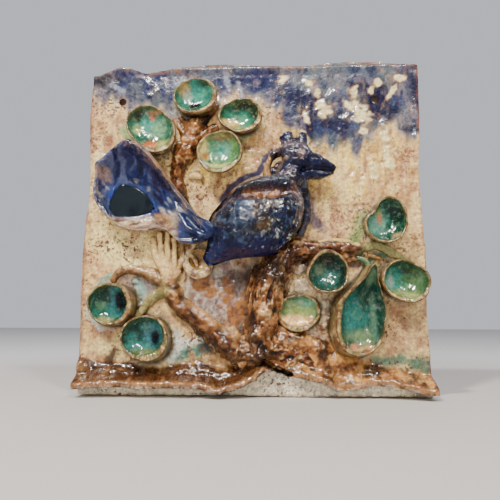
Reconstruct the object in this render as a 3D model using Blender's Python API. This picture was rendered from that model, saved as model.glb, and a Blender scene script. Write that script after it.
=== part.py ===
"""Glazed stoneware wall plaque: a crested bird in a tree, worked in high relief on a square slab.

The plaque hangs upright. Its flat back lies in the plane y = 0 and touches the wall, its front
looks along -Y, and the origin is the middle of the back. Lengths are in metres. Where a form of
the relief lies, and how far it spreads, are shares of the plaque's own width and height. How far
a form stands out from the wall is its "rise", a length.
"""

import math

import bmesh
import bpy
from mathutils import Vector, noise

# The slab
PLAQUE_WIDTH = 0.300
PLAQUE_HEIGHT = 0.296
SLAB_THICKNESS = 0.012
EDGE_ROLL = 0.0018
EDGE_ROLL_WIDTH = 0.010
SURFACE_WAVE = 0.0012
BROAD_WAVE_SIZE = 0.055
FINE_WAVE_SIZE = 0.024
FINE_WAVE_SHARE = 0.5

# The two holes that the plaque hangs by
HOLE_DIAMETER = 0.0065
HOLE_SPACING = 0.231
HOLE_FROM_TOP = 0.034
HOLE_ASIDE = -0.005

# The ground: a thick strip of clay whose lower edge curls forward into a lip
LIP_RISE = 0.029
LIP_HALF_HEIGHT = 0.0075
LIP_UNDERSIDE_SHARE = 0.3
TROUGH_RISE = 0.0155
TROUGH_SLOPE = 0.4
GROUND_THICKNESS = 0.006
GROUND_FADES_BELOW = 0.010
GROUND_FADES_ABOVE = 0.004
# How far above or below the lip's middle line its parts begin and end, in half heights of the lip
LIP_UNDERSIDE = (0.25, 1.1)
LIP_TOP = (0.1, 1.5)
TROUGH = (1.5, 3.0)
TROUGH_RISES = (1.3, 2.6)

# The applied forms
ROOTING = 0.004
ROOTING_SHARE_OF_ROLLS = 0.30
TILT_BEGINS = 0.006
LEAF_WALL = 0.0032
LEAF_FLOOR_SHARE = 0.42
LEAF_TILT = 0.08
BRANCH_STANDS_OFF = 0.15
FAT_ROLL = 0.0125
TAIL_WALL = 0.0042
TAIL_RISE = 0.024
TAIL_FLOOR = 0.0085
BIRD_RISE = 0.034
WING_THICKNESS = 0.006
WING_HOLLOW = 0.010
WING_TURNS_IN = 0.004
HEAD_RISE = 0.027

# The pool of melted glass in the tail
POOL_DEPTH = 0.0028
POOL_CLEARANCE = 0.0004

# Fineness of the meshes
GRID_COLUMNS = 34
GRID_ROWS = 34
LEAF_STEPS = 15
HEAD_STEPS = 12
STUMP_STEPS = 16
HOLE_STEPS = 16
POOL_STEPS = 24
TAIL_STEPS = 28
BIRD_STEPS = 22
SAME_POINT = 1e-5

# The slab's outline, as steps out from a true rectangle, at even spaces along each side
LEFT_STEPS = (-0.0010, 0.0000, 0.0010, 0.0015, 0.0015, 0.0000, -0.0025, -0.0020, 0.0005, 0.0005, -0.0020)
RIGHT_STEPS = (0.0000, -0.0005, -0.0020, -0.0015, 0.0000, -0.0020, -0.0030, -0.0030, -0.0010, 0.0000, -0.0010)
TOP_STEPS = (-0.0090, -0.0010, -0.0060, -0.0020, 0.0020, 0.0030, 0.0010, -0.0010, 0.0000, 0.0035, 0.0020, 0.0020, -0.0025)
BOTTOM_STEPS = (-0.0010, 0.0005, 0.0000, -0.0010, -0.0005, 0.0005, 0.0000, -0.0010, 0.0000)

# Height of the lip's middle line, left to right, as a share of the plaque's height from its centre
LIP_LINE = (-0.458, -0.461, -0.460, -0.464, -0.474, -0.430, -0.426, -0.452, -0.476, -0.474, -0.470)
# Height of the ground's upper edge, left to right, in the same way
GROUND_LINE = (-0.385, -0.395, -0.390, -0.392, -0.385, -0.300, -0.365, -0.402, -0.420, -0.432, -0.440)

# Leaves are shallow oval cups: centre, half length and half width are shares of the plaque's width
# and height, then the lean of the long axis, the taper to its far end, how far the rim stands above
# the slab, the foot as a share of the rim's outline, and the side that the rim tilts up towards
LEAVES = {
    "upper_left": (-0.305, 0.283, 0.080, 0.062, -36, 0.05, 0.016, 0.74, -50),
    "top": (-0.176, 0.382, 0.063, 0.056, 0, 0.00, 0.015, 0.86, -30),
    "upper_right": (-0.041, 0.318, 0.063, 0.053, 15, 0.05, 0.015, 0.72, -10),
    "middle_right": (-0.098, 0.203, 0.070, 0.062, 35, 0.00, 0.019, 0.62, -90),
    "lower_left": (-0.405, -0.242, 0.062, 0.059, 0, 0.00, 0.016, 1.00, 10),
    "low_by_ground": (-0.300, -0.339, 0.064, 0.051, 15, 0.00, 0.018, 1.00, -20),
    "right_edge_upper": (0.382, 0.002, 0.067, 0.053, 80, 0.08, 0.015, 0.80, -60),
    "under_branch": (0.209, -0.152, 0.060, 0.054, 60, 0.00, 0.018, 0.76, -70),
    "right_edge_lower": (0.421, -0.177, 0.063, 0.058, 0, 0.00, 0.020, 0.80, -50),
    "by_trunk": (0.130, -0.262, 0.060, 0.050, 5, 0.00, 0.008, 0.96, -100),
    "pear": (0.300, -0.262, 0.128, 0.072, 80, 0.40, 0.019, 0.98, -110),
    "curl": (-0.154, -0.114, 0.039, 0.037, 0, 0.00, 0.012, 0.90, -120),
}

# Branches are rolls of clay, half sunk in the slab: points (across, up, radius)
BRANCHES = {
    "trunk": ((0.094, -0.082, 0.011), (0.055, -0.142, 0.014), (0.030, -0.205, 0.0150), (0.018, -0.265, 0.0145),
              (0.008, -0.335, 0.0135), (-0.004, -0.400, 0.0135), (-0.014, -0.436, 0.010)),
    "right_branch": ((0.060, -0.115, 0.011), (0.110, -0.088, 0.011), (0.180, -0.078, 0.0095), (0.250, -0.074, 0.0080),
                     (0.310, -0.072, 0.0065), (0.336, -0.074, 0.0045)),
    "left_branch": ((-0.005, -0.410, 0.013), (-0.067, -0.352, 0.0125), (-0.125, -0.311, 0.0105),
                    (-0.178, -0.270, 0.0090), (-0.222, -0.228, 0.0080), (-0.248, -0.190, 0.0075)),
    "left_arc": ((-0.240, -0.198, 0.0065), (-0.285, -0.158, 0.0060), (-0.330, -0.140, 0.0050),
                 (-0.366, -0.134, 0.0045), (-0.388, -0.152, 0.0040), (-0.386, -0.182, 0.0035)),
    "low_leaf_stem": ((-0.245, -0.200, 0.0055), (-0.285, -0.226, 0.0045), (-0.312, -0.262, 0.0035)),
    "upper_stem": ((-0.160, 0.000, 0.0044), (-0.206, 0.076, 0.0050), (-0.226, 0.138, 0.0062), (-0.220, 0.182, 0.0085),
                   (-0.204, 0.222, 0.0105), (-0.187, 0.262, 0.0095), (-0.180, 0.330, 0.0080)),
    "stem_to_upper_left": ((-0.200, 0.250, 0.0045), (-0.216, 0.290, 0.0040), (-0.236, 0.312, 0.0035)),
    "stem_to_upper_right": ((-0.196, 0.238, 0.0055), (-0.155, 0.292, 0.0050), (-0.115, 0.318, 0.0040)),
    "stem_to_middle_right": ((-0.212, 0.206, 0.0060), (-0.176, 0.222, 0.0055), (-0.150, 0.220, 0.0045)),
    "twig_to_pear": ((0.318, -0.074, 0.0050), (0.345, -0.100, 0.0048), (0.338, -0.140, 0.0045)),
    "twig_to_right_edge": ((0.322, -0.068, 0.0050), (0.368, -0.076, 0.0045), (0.404, -0.106, 0.0040)),
    "root_right": ((0.010, -0.345, 0.0100), (0.062, -0.372, 0.0090), (0.110, -0.398, 0.0070)),
}

# Round forms of the bird: centre as shares, then the outline's reach from it at even turns
# anticlockwise from the right, as shares of the plaque's width
TAIL_CENTRE = (-0.352, 0.090)
TAIL_REACH = (0.112, 0.126, 0.148, 0.160, 0.158, 0.138, 0.116, 0.108, 0.108, 0.112, 0.118, 0.124, 0.132, 0.150, 0.205, 0.175)
BODY_CENTRE = (0.032, 0.006)
BODY_REACH = (0.118, 0.122, 0.146, 0.134, 0.126, 0.122, 0.118, 0.128, 0.150, 0.200, 0.160, 0.122, 0.112, 0.110, 0.108, 0.112)
WING_CENTRE = (0.012, -0.016)
WING_REACH = (0.120, 0.118, 0.112, 0.100, 0.094, 0.100, 0.112, 0.120, 0.140, 0.188, 0.142, 0.106, 0.096, 0.092, 0.098, 0.112)
HEAD_CENTRE = (0.118, 0.176)
HEAD_REACH = (0.052, 0.050, 0.046, 0.048, 0.050, 0.050, 0.056, 0.054)
POOL_CENTRE = (-0.356, 0.062)
POOL_REACH = (0.058, 0.050, 0.046, 0.046, 0.050, 0.052, 0.050, 0.046, 0.050, 0.056, 0.052, 0.046, 0.044, 0.048, 0.062, 0.066)

# Small rolls and lumps of the bird: points (across, up, rise of the middle, radius)
BIRD_ROLLS = {
    "tail_neck": ((-0.275, 0.050, 0.016, 0.020), (-0.215, 0.010, 0.018, 0.0190), (-0.160, -0.030, 0.021, 0.0150),
                  (-0.110, -0.048, 0.025, 0.0135), (-0.040, -0.040, 0.028, 0.0140)),
    "tail_ridge": ((-0.340, 0.226, 0.030, 0.0035), (-0.290, 0.190, 0.032, 0.0042), (-0.232, 0.118, 0.031, 0.0045),
                   (-0.182, 0.040, 0.029, 0.0045), (-0.140, -0.004, 0.027, 0.0045)),
    "beak": ((0.140, 0.168, 0.030, 0.0105), (0.185, 0.158, 0.029, 0.0085), (0.222, 0.150, 0.028, 0.0050),
             (0.240, 0.146, 0.027, 0.0022)),
    "crest_back": ((0.106, 0.205, 0.028, 0.0075), (0.092, 0.238, 0.026, 0.0075)),
    "crest_front": ((0.132, 0.208, 0.028, 0.0078), (0.138, 0.242, 0.026, 0.0072)),
    "nape": ((0.096, 0.200, 0.026, 0.0055), (0.064, 0.186, 0.026, 0.0048), (0.046, 0.150, 0.026, 0.0045),
             (0.050, 0.120, 0.027, 0.0050)),
    "neck": ((0.108, 0.150, 0.026, 0.0120), (0.100, 0.110, 0.028, 0.0125)),
    "shoulder_fold": ((-0.085, 0.040, 0.026, 0.0035), (-0.045, 0.090, 0.031, 0.0052), (0.010, 0.122, 0.035, 0.0060),
                      (0.070, 0.132, 0.036, 0.0062), (0.118, 0.118, 0.033, 0.0055)),
}

# The fluted stump left of the trunk: centre, half width, half height and the number of flutes
STUMP_CENTRE = (-0.256, -0.105)
STUMP_HALF_WIDTH = 0.043
STUMP_HALF_HEIGHT = 0.078
STUMP_RISE = 0.013
STUMP_FLUTES = 5
STUMP_FLUTE_DEPTH = 0.0012


def across(share):
    return share * PLAQUE_WIDTH


def up(share):
    return share * PLAQUE_HEIGHT


def bend(before, start, end, after, share):
    """A value between start and end, on a smooth curve that also heeds the values on both sides."""
    return 0.5 * (
        2 * start
        + (end - before) * share
        + (2 * before - 5 * start + 4 * end - after) * share**2
        + (3 * start - before - 3 * end + after) * share**3
    )


def along(values, share):
    """The smooth curve through evenly spaced values, from the first at 0 to the last at 1."""
    place = min(max(share, 0.0), 1.0) * (len(values) - 1)
    i = min(int(place), len(values) - 2)
    before = values[max(i - 1, 0)]
    after = values[min(i + 2, len(values) - 1)]
    return bend(before, values[i], values[i + 1], after, place - i)


def around(values, angle):
    """The smooth closed curve through values at even turns, at an angle in radians."""
    place = (angle / math.tau) % 1.0 * len(values)
    i = int(place) % len(values)
    near = [values[(i + k) % len(values)] for k in (-1, 0, 1, 2)]
    return bend(*near, place - int(place))


def smooth_step(low, high, value):
    share = min(max((value - low) / (high - low), 0.0), 1.0)
    return share * share * (3 - 2 * share)


def surface_rise(x, z):
    """How far the bare front stands out from the wall: the slab, its rolled edge, the ground and its lip."""
    side = 0.5 + x / PLAQUE_WIDTH
    place = Vector((x, 0.0, z))
    wave = noise.noise(place / BROAD_WAVE_SIZE) + FINE_WAVE_SHARE * noise.noise(place / FINE_WAVE_SIZE)
    rise = SLAB_THICKNESS + SURFACE_WAVE * wave
    to_edge = min(PLAQUE_WIDTH / 2 - abs(x), PLAQUE_HEIGHT / 2 - abs(z))
    rise += EDGE_ROLL * (1 - smooth_step(0.0, EDGE_ROLL_WIDTH, to_edge))
    ground_edge = up(along(GROUND_LINE, side))
    rise += GROUND_THICKNESS * (1 - smooth_step(ground_edge - GROUND_FADES_BELOW, ground_edge + GROUND_FADES_ABOVE, z))
    lip = up(along(LIP_LINE, side))
    over = (z - lip) / LIP_HALF_HEIGHT
    if over > 0:
        trough = TROUGH_RISE + TROUGH_SLOPE * GROUND_THICKNESS * smooth_step(*TROUGH_RISES, over)
        low = rise + (trough - rise) * (1 - smooth_step(*TROUGH, over))
        return low + (LIP_RISE - low) * (1 - smooth_step(*LIP_TOP, over))
    underside = SLAB_THICKNESS + LIP_UNDERSIDE_SHARE * (LIP_RISE - SLAB_THICKNESS)
    return LIP_RISE + (underside - LIP_RISE) * smooth_step(*LIP_UNDERSIDE, -over)


def slab_point(column, row):
    """The point of the front at a share of the way across and up the slab."""
    half_width, half_height = PLAQUE_WIDTH / 2, PLAQUE_HEIGHT / 2
    left = -half_width - along(LEFT_STEPS, row)
    right = half_width + along(RIGHT_STEPS, row)
    bottom = -half_height - along(BOTTOM_STEPS, column)
    top = half_height + along(TOP_STEPS, column)
    x = left + (right - left) * column
    z = bottom + (top - bottom) * row
    return Vector((x, -surface_rise(x, z), z))


def row_share(row):
    """Rows stand closer together near the ground's lip."""
    share = row / GRID_ROWS
    return share * (0.42 + 0.58 * share)


def new_object(name, mesh_maker, material, collection):
    mesh = bpy.data.meshes.new(name)
    mesh_maker.normal_update()
    bmesh.ops.recalc_face_normals(mesh_maker, faces=mesh_maker.faces[:])
    mesh_maker.to_mesh(mesh)
    mesh_maker.free()
    made = bpy.data.objects.new(name, mesh)
    made.data.materials.append(material)
    collection.objects.link(made)
    return made


def make_slab(material, collection):
    """A grid shaped to the front, pushed back to the flat plane of the wall."""
    bm = bmesh.new()
    bmesh.ops.create_grid(bm, x_segments=GRID_COLUMNS, y_segments=GRID_ROWS, size=0.5)
    for vert in bm.verts:
        column = vert.co.x + 0.5
        row = row_share(round((vert.co.y + 0.5) * GRID_ROWS))
        vert.co = slab_point(column, row)
    pushed = bmesh.ops.extrude_face_region(bm, geom=bm.faces[:])["geom"]
    back_verts = [g for g in pushed if isinstance(g, bmesh.types.BMVert)]
    for vert in back_verts:
        vert.co.y = 0.0
    back_faces = [g for g in pushed if isinstance(g, bmesh.types.BMFace)]
    back_edges = {edge for face in back_faces for edge in face.edges}
    inner_edges = [edge for edge in back_edges if all(face in back_faces for face in edge.link_faces)]
    bmesh.ops.dissolve_edges(bm, edges=inner_edges, use_verts=True)
    return new_object("plaque", bm, material, collection)


def turned_form(name, profile, reach, centre, steps, material, collection, lean=(0.0, 0.0)):
    """A profile of (share of the outline, rise) turned about the line out of the wall, then drawn out to an outline.

    reach gives the outline's distance from the centre at an angle. lean is the extra rise of the
    rim on one side, and the angle of that side.
    """
    bm = bmesh.new()
    points = [bm.verts.new((share, -rise, 0.0)) for share, rise in profile]
    lines = [bm.edges.new(pair) for pair in zip(points, points[1:])]
    bmesh.ops.spin(bm, geom=points + lines, cent=(0, 0, 0), axis=(0, 1, 0), angle=math.tau, steps=steps, use_merge=True)
    bmesh.ops.remove_doubles(bm, verts=bm.verts[:], dist=SAME_POINT)
    extra, side = lean
    for vert in bm.verts:
        share = math.hypot(vert.co.x, vert.co.z)
        angle = math.atan2(vert.co.z, vert.co.x)
        distance = share * reach(angle)
        raised = smooth_step(SLAB_THICKNESS, SLAB_THICKNESS + TILT_BEGINS, -vert.co.y)
        tilt = extra * share * math.cos(angle - side) * raised
        vert.co = Vector((
            across(centre[0]) + distance * math.cos(angle),
            vert.co.y - tilt,
            up(centre[1]) + distance * math.sin(angle),
        ))
    return new_object(name, bm, material, collection)


def cup_profile(rim, foot, inner):
    """The section of a cup from the middle of its foot round the rim to the middle of its floor.

    foot and inner are the foot's outline and the inner edge of the rim, as shares of the rim's.
    """
    face, floor = SLAB_THICKNESS, SLAB_THICKNESS + LEAF_FLOOR_SHARE * rim
    top = face + rim
    return (
        (0.0, face - ROOTING),
        (0.9 * foot, face - ROOTING),
        (foot, face + 0.10 * rim),
        (0.5 * (1 + foot), face + 0.55 * rim),
        (1.0, face + 0.90 * rim),
        (0.5 * (1 + inner), top),
        (inner, face + 0.88 * rim),
        (0.80 * inner, floor + 0.36 * (top - floor)),
        (0.45 * inner, floor),
        (0.0, floor),
    )


def make_leaf(name, material, collection):
    centre_x, centre_z, half_length, half_width, lean, taper, rim, foot, high_side = LEAVES[name]
    length, width = across(half_length), across(half_width)
    turn = math.radians(lean)

    def reach(angle):
        a = angle - turn
        narrow = width * (1 - taper * math.cos(a))
        return length * narrow / math.hypot(narrow * math.cos(a), length * math.sin(a))

    profile = cup_profile(rim, foot, 1 - 2 * LEAF_WALL / (length + width))
    tilt = (LEAF_TILT * rim, math.radians(high_side))
    return turned_form("leaf_" + name, profile, reach, (centre_x, centre_z), LEAF_STEPS, material, collection, tilt)


def outline_reach(values, more=0.0):
    return lambda angle: across(around(values, angle)) + more


def dome_profile(rise, foot_share=0.80):
    """The section of a rounded body that stands out from the slab and tucks in under itself."""
    foot = SLAB_THICKNESS - ROOTING
    return (
        (0.0, foot),
        (foot_share, foot),
        (0.5 + 0.5 * foot_share, SLAB_THICKNESS + 0.12 * rise),
        (1.0, SLAB_THICKNESS + 0.36 * rise),
        (0.97, SLAB_THICKNESS + 0.56 * rise),
        (0.86, SLAB_THICKNESS + 0.76 * rise),
        (0.62, SLAB_THICKNESS + 0.92 * rise),
        (0.30, SLAB_THICKNESS + rise),
        (0.0, SLAB_THICKNESS + rise),
    )


def tail_profile():
    """The tail is a deep bowl with a level floor that holds the glass."""
    rim, floor = TAIL_RISE, TAIL_FLOOR
    inner = 1 - TAIL_WALL / across(sum(TAIL_REACH) / len(TAIL_REACH))
    face = SLAB_THICKNESS
    return (
        (0.0, face - ROOTING),
        (0.62, face - ROOTING),
        (0.74, face + 0.10 * rim),
        (0.93, face + 0.50 * rim),
        (1.0, face + 0.88 * rim),
        (0.5 + 0.5 * inner, face + rim),
        (inner, face + 0.88 * rim),
        (0.82, face + 0.5 * (rim + floor)),
        (0.66, face + floor),
        (0.0, face + floor),
    )


def wing_profile():
    top = SLAB_THICKNESS + BIRD_RISE + WING_THICKNESS
    edge = SLAB_THICKNESS + 0.55 * BIRD_RISE
    return (
        (0.0, edge - WING_HOLLOW),
        (0.80, edge - WING_TURNS_IN),
        (1.0, edge),
        (0.99, edge + 0.5 * WING_THICKNESS),
        (0.88, edge + 0.62 * (top - edge)),
        (0.62, edge + 0.90 * (top - edge)),
        (0.28, top),
        (0.0, top),
    )


def roll_of_clay(name, path, material, collection):
    """A round roll along points (x, rise, z, radius), as one closed mesh."""
    curve = bpy.data.curves.new(name, "CURVE")
    curve.dimensions = "3D"
    curve.bevel_depth = 1.0
    curve.bevel_resolution = 2 if max(radius for *_, radius in path) > FAT_ROLL else 1
    curve.use_fill_caps = True
    curve.resolution_u = 2
    spline = curve.splines.new("NURBS")
    spline.points.add(len(path) - 1)
    spline.order_u = min(4, len(path))
    spline.use_endpoint_u = True
    for point, (x, rise, z, radius) in zip(spline.points, path):
        point.co = (x, -rise, z, 1.0)
        point.radius = radius
    guide = bpy.data.objects.new(name, curve)
    collection.objects.link(guide)
    graph = bpy.context.evaluated_depsgraph_get()
    mesh = bpy.data.meshes.new_from_object(guide.evaluated_get(graph))
    bpy.data.objects.remove(guide)
    bpy.data.curves.remove(curve)
    bm = bmesh.new()
    bm.from_mesh(mesh)
    bpy.data.meshes.remove(mesh)
    bmesh.ops.remove_doubles(bm, verts=bm.verts[:], dist=SAME_POINT)
    return new_object(name, bm, material, collection)


def settle(made):
    """Make the part of a roll that is sunk in the slab shallow, so that it never nears the back."""
    for vert in made.data.vertices:
        sunk = SLAB_THICKNESS + vert.co.y
        if sunk > 0:
            vert.co.y = ROOTING_SHARE_OF_ROLLS * sunk - SLAB_THICKNESS
    return made


def make_branch(name, material, collection):
    path = [(across(x), SLAB_THICKNESS + BRANCH_STANDS_OFF * radius, up(z), radius) for x, z, radius in BRANCHES[name]]
    return settle(roll_of_clay(name, path, material, collection))


def make_bird_roll(name, material, collection):
    path = [(across(x), rise, up(z), radius) for x, z, rise, radius in BIRD_ROLLS[name]]
    return settle(roll_of_clay(name, path, material, collection))


def make_head(material, collection):
    profile = dome_profile(HEAD_RISE, 0.75)
    return turned_form("head", profile, outline_reach(HEAD_REACH), HEAD_CENTRE, HEAD_STEPS, material, collection)


def make_stump(material, collection):
    """A low fluted block of bark."""

    def reach(angle):
        tall, wide = up(STUMP_HALF_HEIGHT), across(STUMP_HALF_WIDTH)
        return (abs(math.cos(angle) / wide) ** 4 + abs(math.sin(angle) / tall) ** 4) ** -0.25

    made = turned_form("stump", dome_profile(STUMP_RISE, 0.9), reach, STUMP_CENTRE, STUMP_STEPS, material, collection)
    for vert in made.data.vertices:
        if -vert.co.y > SLAB_THICKNESS + 0.5 * STUMP_RISE:
            share = (vert.co.x - across(STUMP_CENTRE[0])) / across(STUMP_HALF_WIDTH)
            vert.co.y += STUMP_FLUTE_DEPTH * math.cos(STUMP_FLUTES * math.pi * share)
    return made


def hole_cutter(name, x, material, collection):
    bm = bmesh.new()
    radius, through_and_beyond = HOLE_DIAMETER / 2, 2 * (SLAB_THICKNESS + BIRD_RISE)
    bmesh.ops.create_cone(
        bm, cap_ends=True, segments=HOLE_STEPS, radius1=radius, radius2=radius, depth=through_and_beyond
    )
    for vert in bm.verts:
        along_hole = vert.co.z
        vert.co = Vector((x + vert.co.x, along_hole, PLAQUE_HEIGHT / 2 - HOLE_FROM_TOP + vert.co.y))
    return new_object(name, bm, material, collection)


def pool_form(name, more, low, high, material, collection):
    profile = ((0.0, low), (1.0, low), (1.0, high), (0.0, high))
    return turned_form(name, profile, outline_reach(POOL_REACH, more), POOL_CENTRE, POOL_STEPS, material, collection)


def cut_or_join(body, operation, operand):
    modifier = body.modifiers.new(operation.lower() + "_" + operand.name, "BOOLEAN")
    modifier.operation = operation
    modifier.solver = "EXACT"
    if isinstance(operand, bpy.types.Collection):
        modifier.operand_type = "COLLECTION"
        modifier.collection = operand
    else:
        modifier.object = operand


def new_material(name, colour, roughness):
    material = bpy.data.materials.new(name)
    material.use_nodes = True
    shader = material.node_tree.nodes["Principled BSDF"]
    shader.inputs["Base Color"].default_value = (*colour, 1.0)
    shader.inputs["Roughness"].default_value = roughness
    shader.inputs["Metallic"].default_value = 0.0
    material.diffuse_color = (*colour, 1.0)
    return material


def new_collection(name):
    made = bpy.data.collections.new(name)
    bpy.context.scene.collection.children.link(made)
    return made


def main():
    for old in list(bpy.data.objects):
        bpy.data.objects.remove(old)
    plaque_parts = new_collection("bird_plaque")
    clay = new_collection("applied_clay")
    cutters = new_collection("cutters")
    stoneware = new_material("glazed_stoneware", (0.62, 0.50, 0.36), 0.2)
    glass = new_material("dark_pool_glass", (0.02, 0.03, 0.04), 0.03)

    plaque = make_slab(stoneware, plaque_parts)
    for name in LEAVES:
        make_leaf(name, stoneware, clay)
    for name in BRANCHES:
        make_branch(name, stoneware, clay)
    make_stump(stoneware, clay)
    tail, body, wing = (outline_reach(reach) for reach in (TAIL_REACH, BODY_REACH, WING_REACH))
    turned_form("tail", tail_profile(), tail, TAIL_CENTRE, TAIL_STEPS, stoneware, clay)
    turned_form("body", dome_profile(BIRD_RISE), body, BODY_CENTRE, BIRD_STEPS, stoneware, clay)
    turned_form("wing", wing_profile(), wing, WING_CENTRE, BIRD_STEPS, stoneware, clay)
    make_head(stoneware, clay)
    for name in BIRD_ROLLS:
        make_bird_roll(name, stoneware, clay)
    cut_or_join(plaque, "UNION", clay)

    middle = HOLE_ASIDE
    for name, x in (("hole_left", middle - HOLE_SPACING / 2), ("hole_right", middle + HOLE_SPACING / 2)):
        cut_or_join(plaque, "DIFFERENCE", hole_cutter(name, x, stoneware, cutters))
    level = SLAB_THICKNESS + TAIL_FLOOR
    recess = pool_form(
        "pool_recess", POOL_CLEARANCE, level - POOL_DEPTH - POOL_CLEARANCE, level + TAIL_RISE, stoneware, cutters
    )
    cut_or_join(plaque, "DIFFERENCE", recess)
    pool_form("tail_glass", 0.0, level - POOL_DEPTH, level - POOL_CLEARANCE, glass, plaque_parts)

    for helper in (*clay.objects, *cutters.objects):
        helper.hide_render = True
        helper.display_type = "WIRE"


main()
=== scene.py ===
"""The looks of the glazed stoneware plaque: worked clay forms under runny glazes.

The plaque stands upright with its flat back in the plane y = 0 and its front towards -Y. Places
on it are given in millimetres across and up from its middle, and a form's rise is how far it
stands out from the wall, in millimetres too.
"""

import math
from functools import partial

import bmesh
import bpy
import numpy as np
from mathutils import Matrix, Vector
from mathutils.kdtree import KDTree


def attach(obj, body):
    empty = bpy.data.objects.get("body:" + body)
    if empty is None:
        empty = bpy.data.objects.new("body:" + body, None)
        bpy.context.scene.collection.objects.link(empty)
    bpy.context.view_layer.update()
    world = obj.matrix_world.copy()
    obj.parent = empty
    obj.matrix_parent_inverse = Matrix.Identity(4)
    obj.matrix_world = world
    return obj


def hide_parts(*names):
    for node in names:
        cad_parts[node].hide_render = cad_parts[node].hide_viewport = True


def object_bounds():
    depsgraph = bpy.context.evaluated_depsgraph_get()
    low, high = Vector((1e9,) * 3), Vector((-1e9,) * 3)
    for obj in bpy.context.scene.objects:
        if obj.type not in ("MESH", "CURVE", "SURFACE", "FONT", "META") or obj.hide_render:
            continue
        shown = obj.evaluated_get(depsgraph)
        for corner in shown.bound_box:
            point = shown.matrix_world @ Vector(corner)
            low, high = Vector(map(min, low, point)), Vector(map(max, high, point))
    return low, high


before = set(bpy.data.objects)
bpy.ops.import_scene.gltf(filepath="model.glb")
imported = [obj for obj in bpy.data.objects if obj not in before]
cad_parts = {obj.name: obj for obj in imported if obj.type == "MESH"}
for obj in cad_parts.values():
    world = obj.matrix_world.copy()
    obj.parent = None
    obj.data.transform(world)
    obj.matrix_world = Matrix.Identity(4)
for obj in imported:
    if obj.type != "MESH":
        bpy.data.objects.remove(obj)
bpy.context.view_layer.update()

MM = 0.001
WIDTH = 300.0
HEIGHT = 296.0
SLAB = 12.0

# Points nearer than the gap are joined; rolls are round over this share of their length at each end
MEETING_GAP = 0.01 * MM
ROUNDED_END = 0.06
SHARP_EDGE = math.radians(50)

# The slab's back: where it ends, in millimetres, and how bare its clay is
BACK_RISE = 1.0
BACK_CLAY = 0.6

# How many steps each form's grid has: round and along, or across and up
SLAB_GRID = (300, 300)
ROLL_GRID = (16, 60)
LEAF_GRID = (104, 52)
BODY_GRID = (260, 110)
TAIL_GRID = (230, 80)
POOL_GRID = (120, 24)

# The camera stands as in the photograph: image side and focal length in pixels
IMAGE_SIDE = 500
FOCAL_PIXELS = 495.0
CAMERA_PLACE = (0.0123, -0.442, -0.0838)
CAMERA_PITCH = 7.94
CAMERA_YAW = 2.0
CAMERA_ROLL = -0.18


# Number helpers

def smooth_step(low, high, value):
    share = np.clip((value - low) / (high - low), 0.0, 1.0)
    return share * share * (3 - 2 * share)


def bump_at(value, centre, half_width):
    """1 at the centre, falling smoothly to 0 half a width away."""
    return 1 - smooth_step(0.0, half_width, np.abs(value - centre))


def curve(values, share, closed=False):
    """The smooth curve through evenly spaced values at shares from 0 to 1; values may be points."""
    values = np.asarray(values, float)
    count = len(values)
    share = np.asarray(share, float)
    place = (share % 1.0) * count if closed else np.clip(share, 0, 1) * (count - 1)
    i = np.minimum(place.astype(int), count - 1 if closed else count - 2)
    t = place - i
    if values.ndim > 1:
        t = t[..., None]
    pick = (lambda k: values[k % count]) if closed else (lambda k: values[np.clip(k, 0, count - 1)])
    a, b, c, d = pick(i - 1), pick(i), pick(i + 1), pick(i + 2)
    return 0.5 * (2 * b + (c - a) * t + (2 * a - 5 * b + 4 * c - d) * t**2 + (3 * b - a - 3 * c + d) * t**3)


def through(points, x):
    """The height at x of a line through points (x, height)."""
    points = np.asarray(points, float)
    return np.interp(x, points[:, 0], points[:, 1])


def lattice(ix, iy, iz, seed):
    """A fixed value from -1 to 1 for each whole-numbered point of space."""
    h = (ix * 374761393 + iy * 668265263 + iz * 2147483647 + seed * 1274126177) & 0xFFFFFFFF
    h = ((h ^ (h >> 13)) * 1103515245) & 0xFFFFFFFF
    h = ((h ^ (h >> 16)) * 2246822519) & 0xFFFFFFFF
    return ((h ^ (h >> 15)) & 0xFFFFFF) / 8388607.5 - 1.0


def clay_noise(x, y, z, size, seed=0, octaves=1):
    """Smooth noise from about -1 to 1 whose lumps are one size across."""
    total, weight, scale = 0.0, 0.0, 1.0 / np.asarray(size, float)
    for octave in range(octaves):
        px, py, pz = (np.asarray(axis, float) * scale + 17.3 * octave + 101.7 for axis in (x, y, z))
        ix, iy, iz = (np.floor(p).astype(np.int64) for p in (px, py, pz))
        fx, fy, fz = (p - i for p, i in ((px, ix), (py, iy), (pz, iz)))
        fx, fy, fz = (f * f * f * (f * (f * 6 - 15) + 10) for f in (fx, fy, fz))
        value = 0.0
        for dx in (0, 1):
            for dy in (0, 1):
                for dz in (0, 1):
                    corner = lattice(ix + dx, iy + dy, iz + dz, seed + 31 * octave)
                    value = value + corner * (
                        fx if dx else 1 - fx
                    ) * (fy if dy else 1 - fy) * (fz if dz else 1 - fz)
        total = total + value * 0.55**octave
        weight += 0.55**octave
        scale = scale * 2.03
    return total / weight * 1.4


def ridges(noise_value):
    """Turns smooth noise into sharp crests: 1 on a crest, falling to 0."""
    return 1 - np.minimum(np.abs(noise_value) * 1.6, 1.0)


# Glaze colours, in linear light

def colour(red, green, blue):
    """A colour as a painter reads it off a screen, from 0 to 255, in linear light."""
    return np.array([
        ((c / 255 + 0.055) / 1.055) ** 2.4 if c > 10 else c / 255 / 12.92
        for c in (red, green, blue)
    ])


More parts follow.
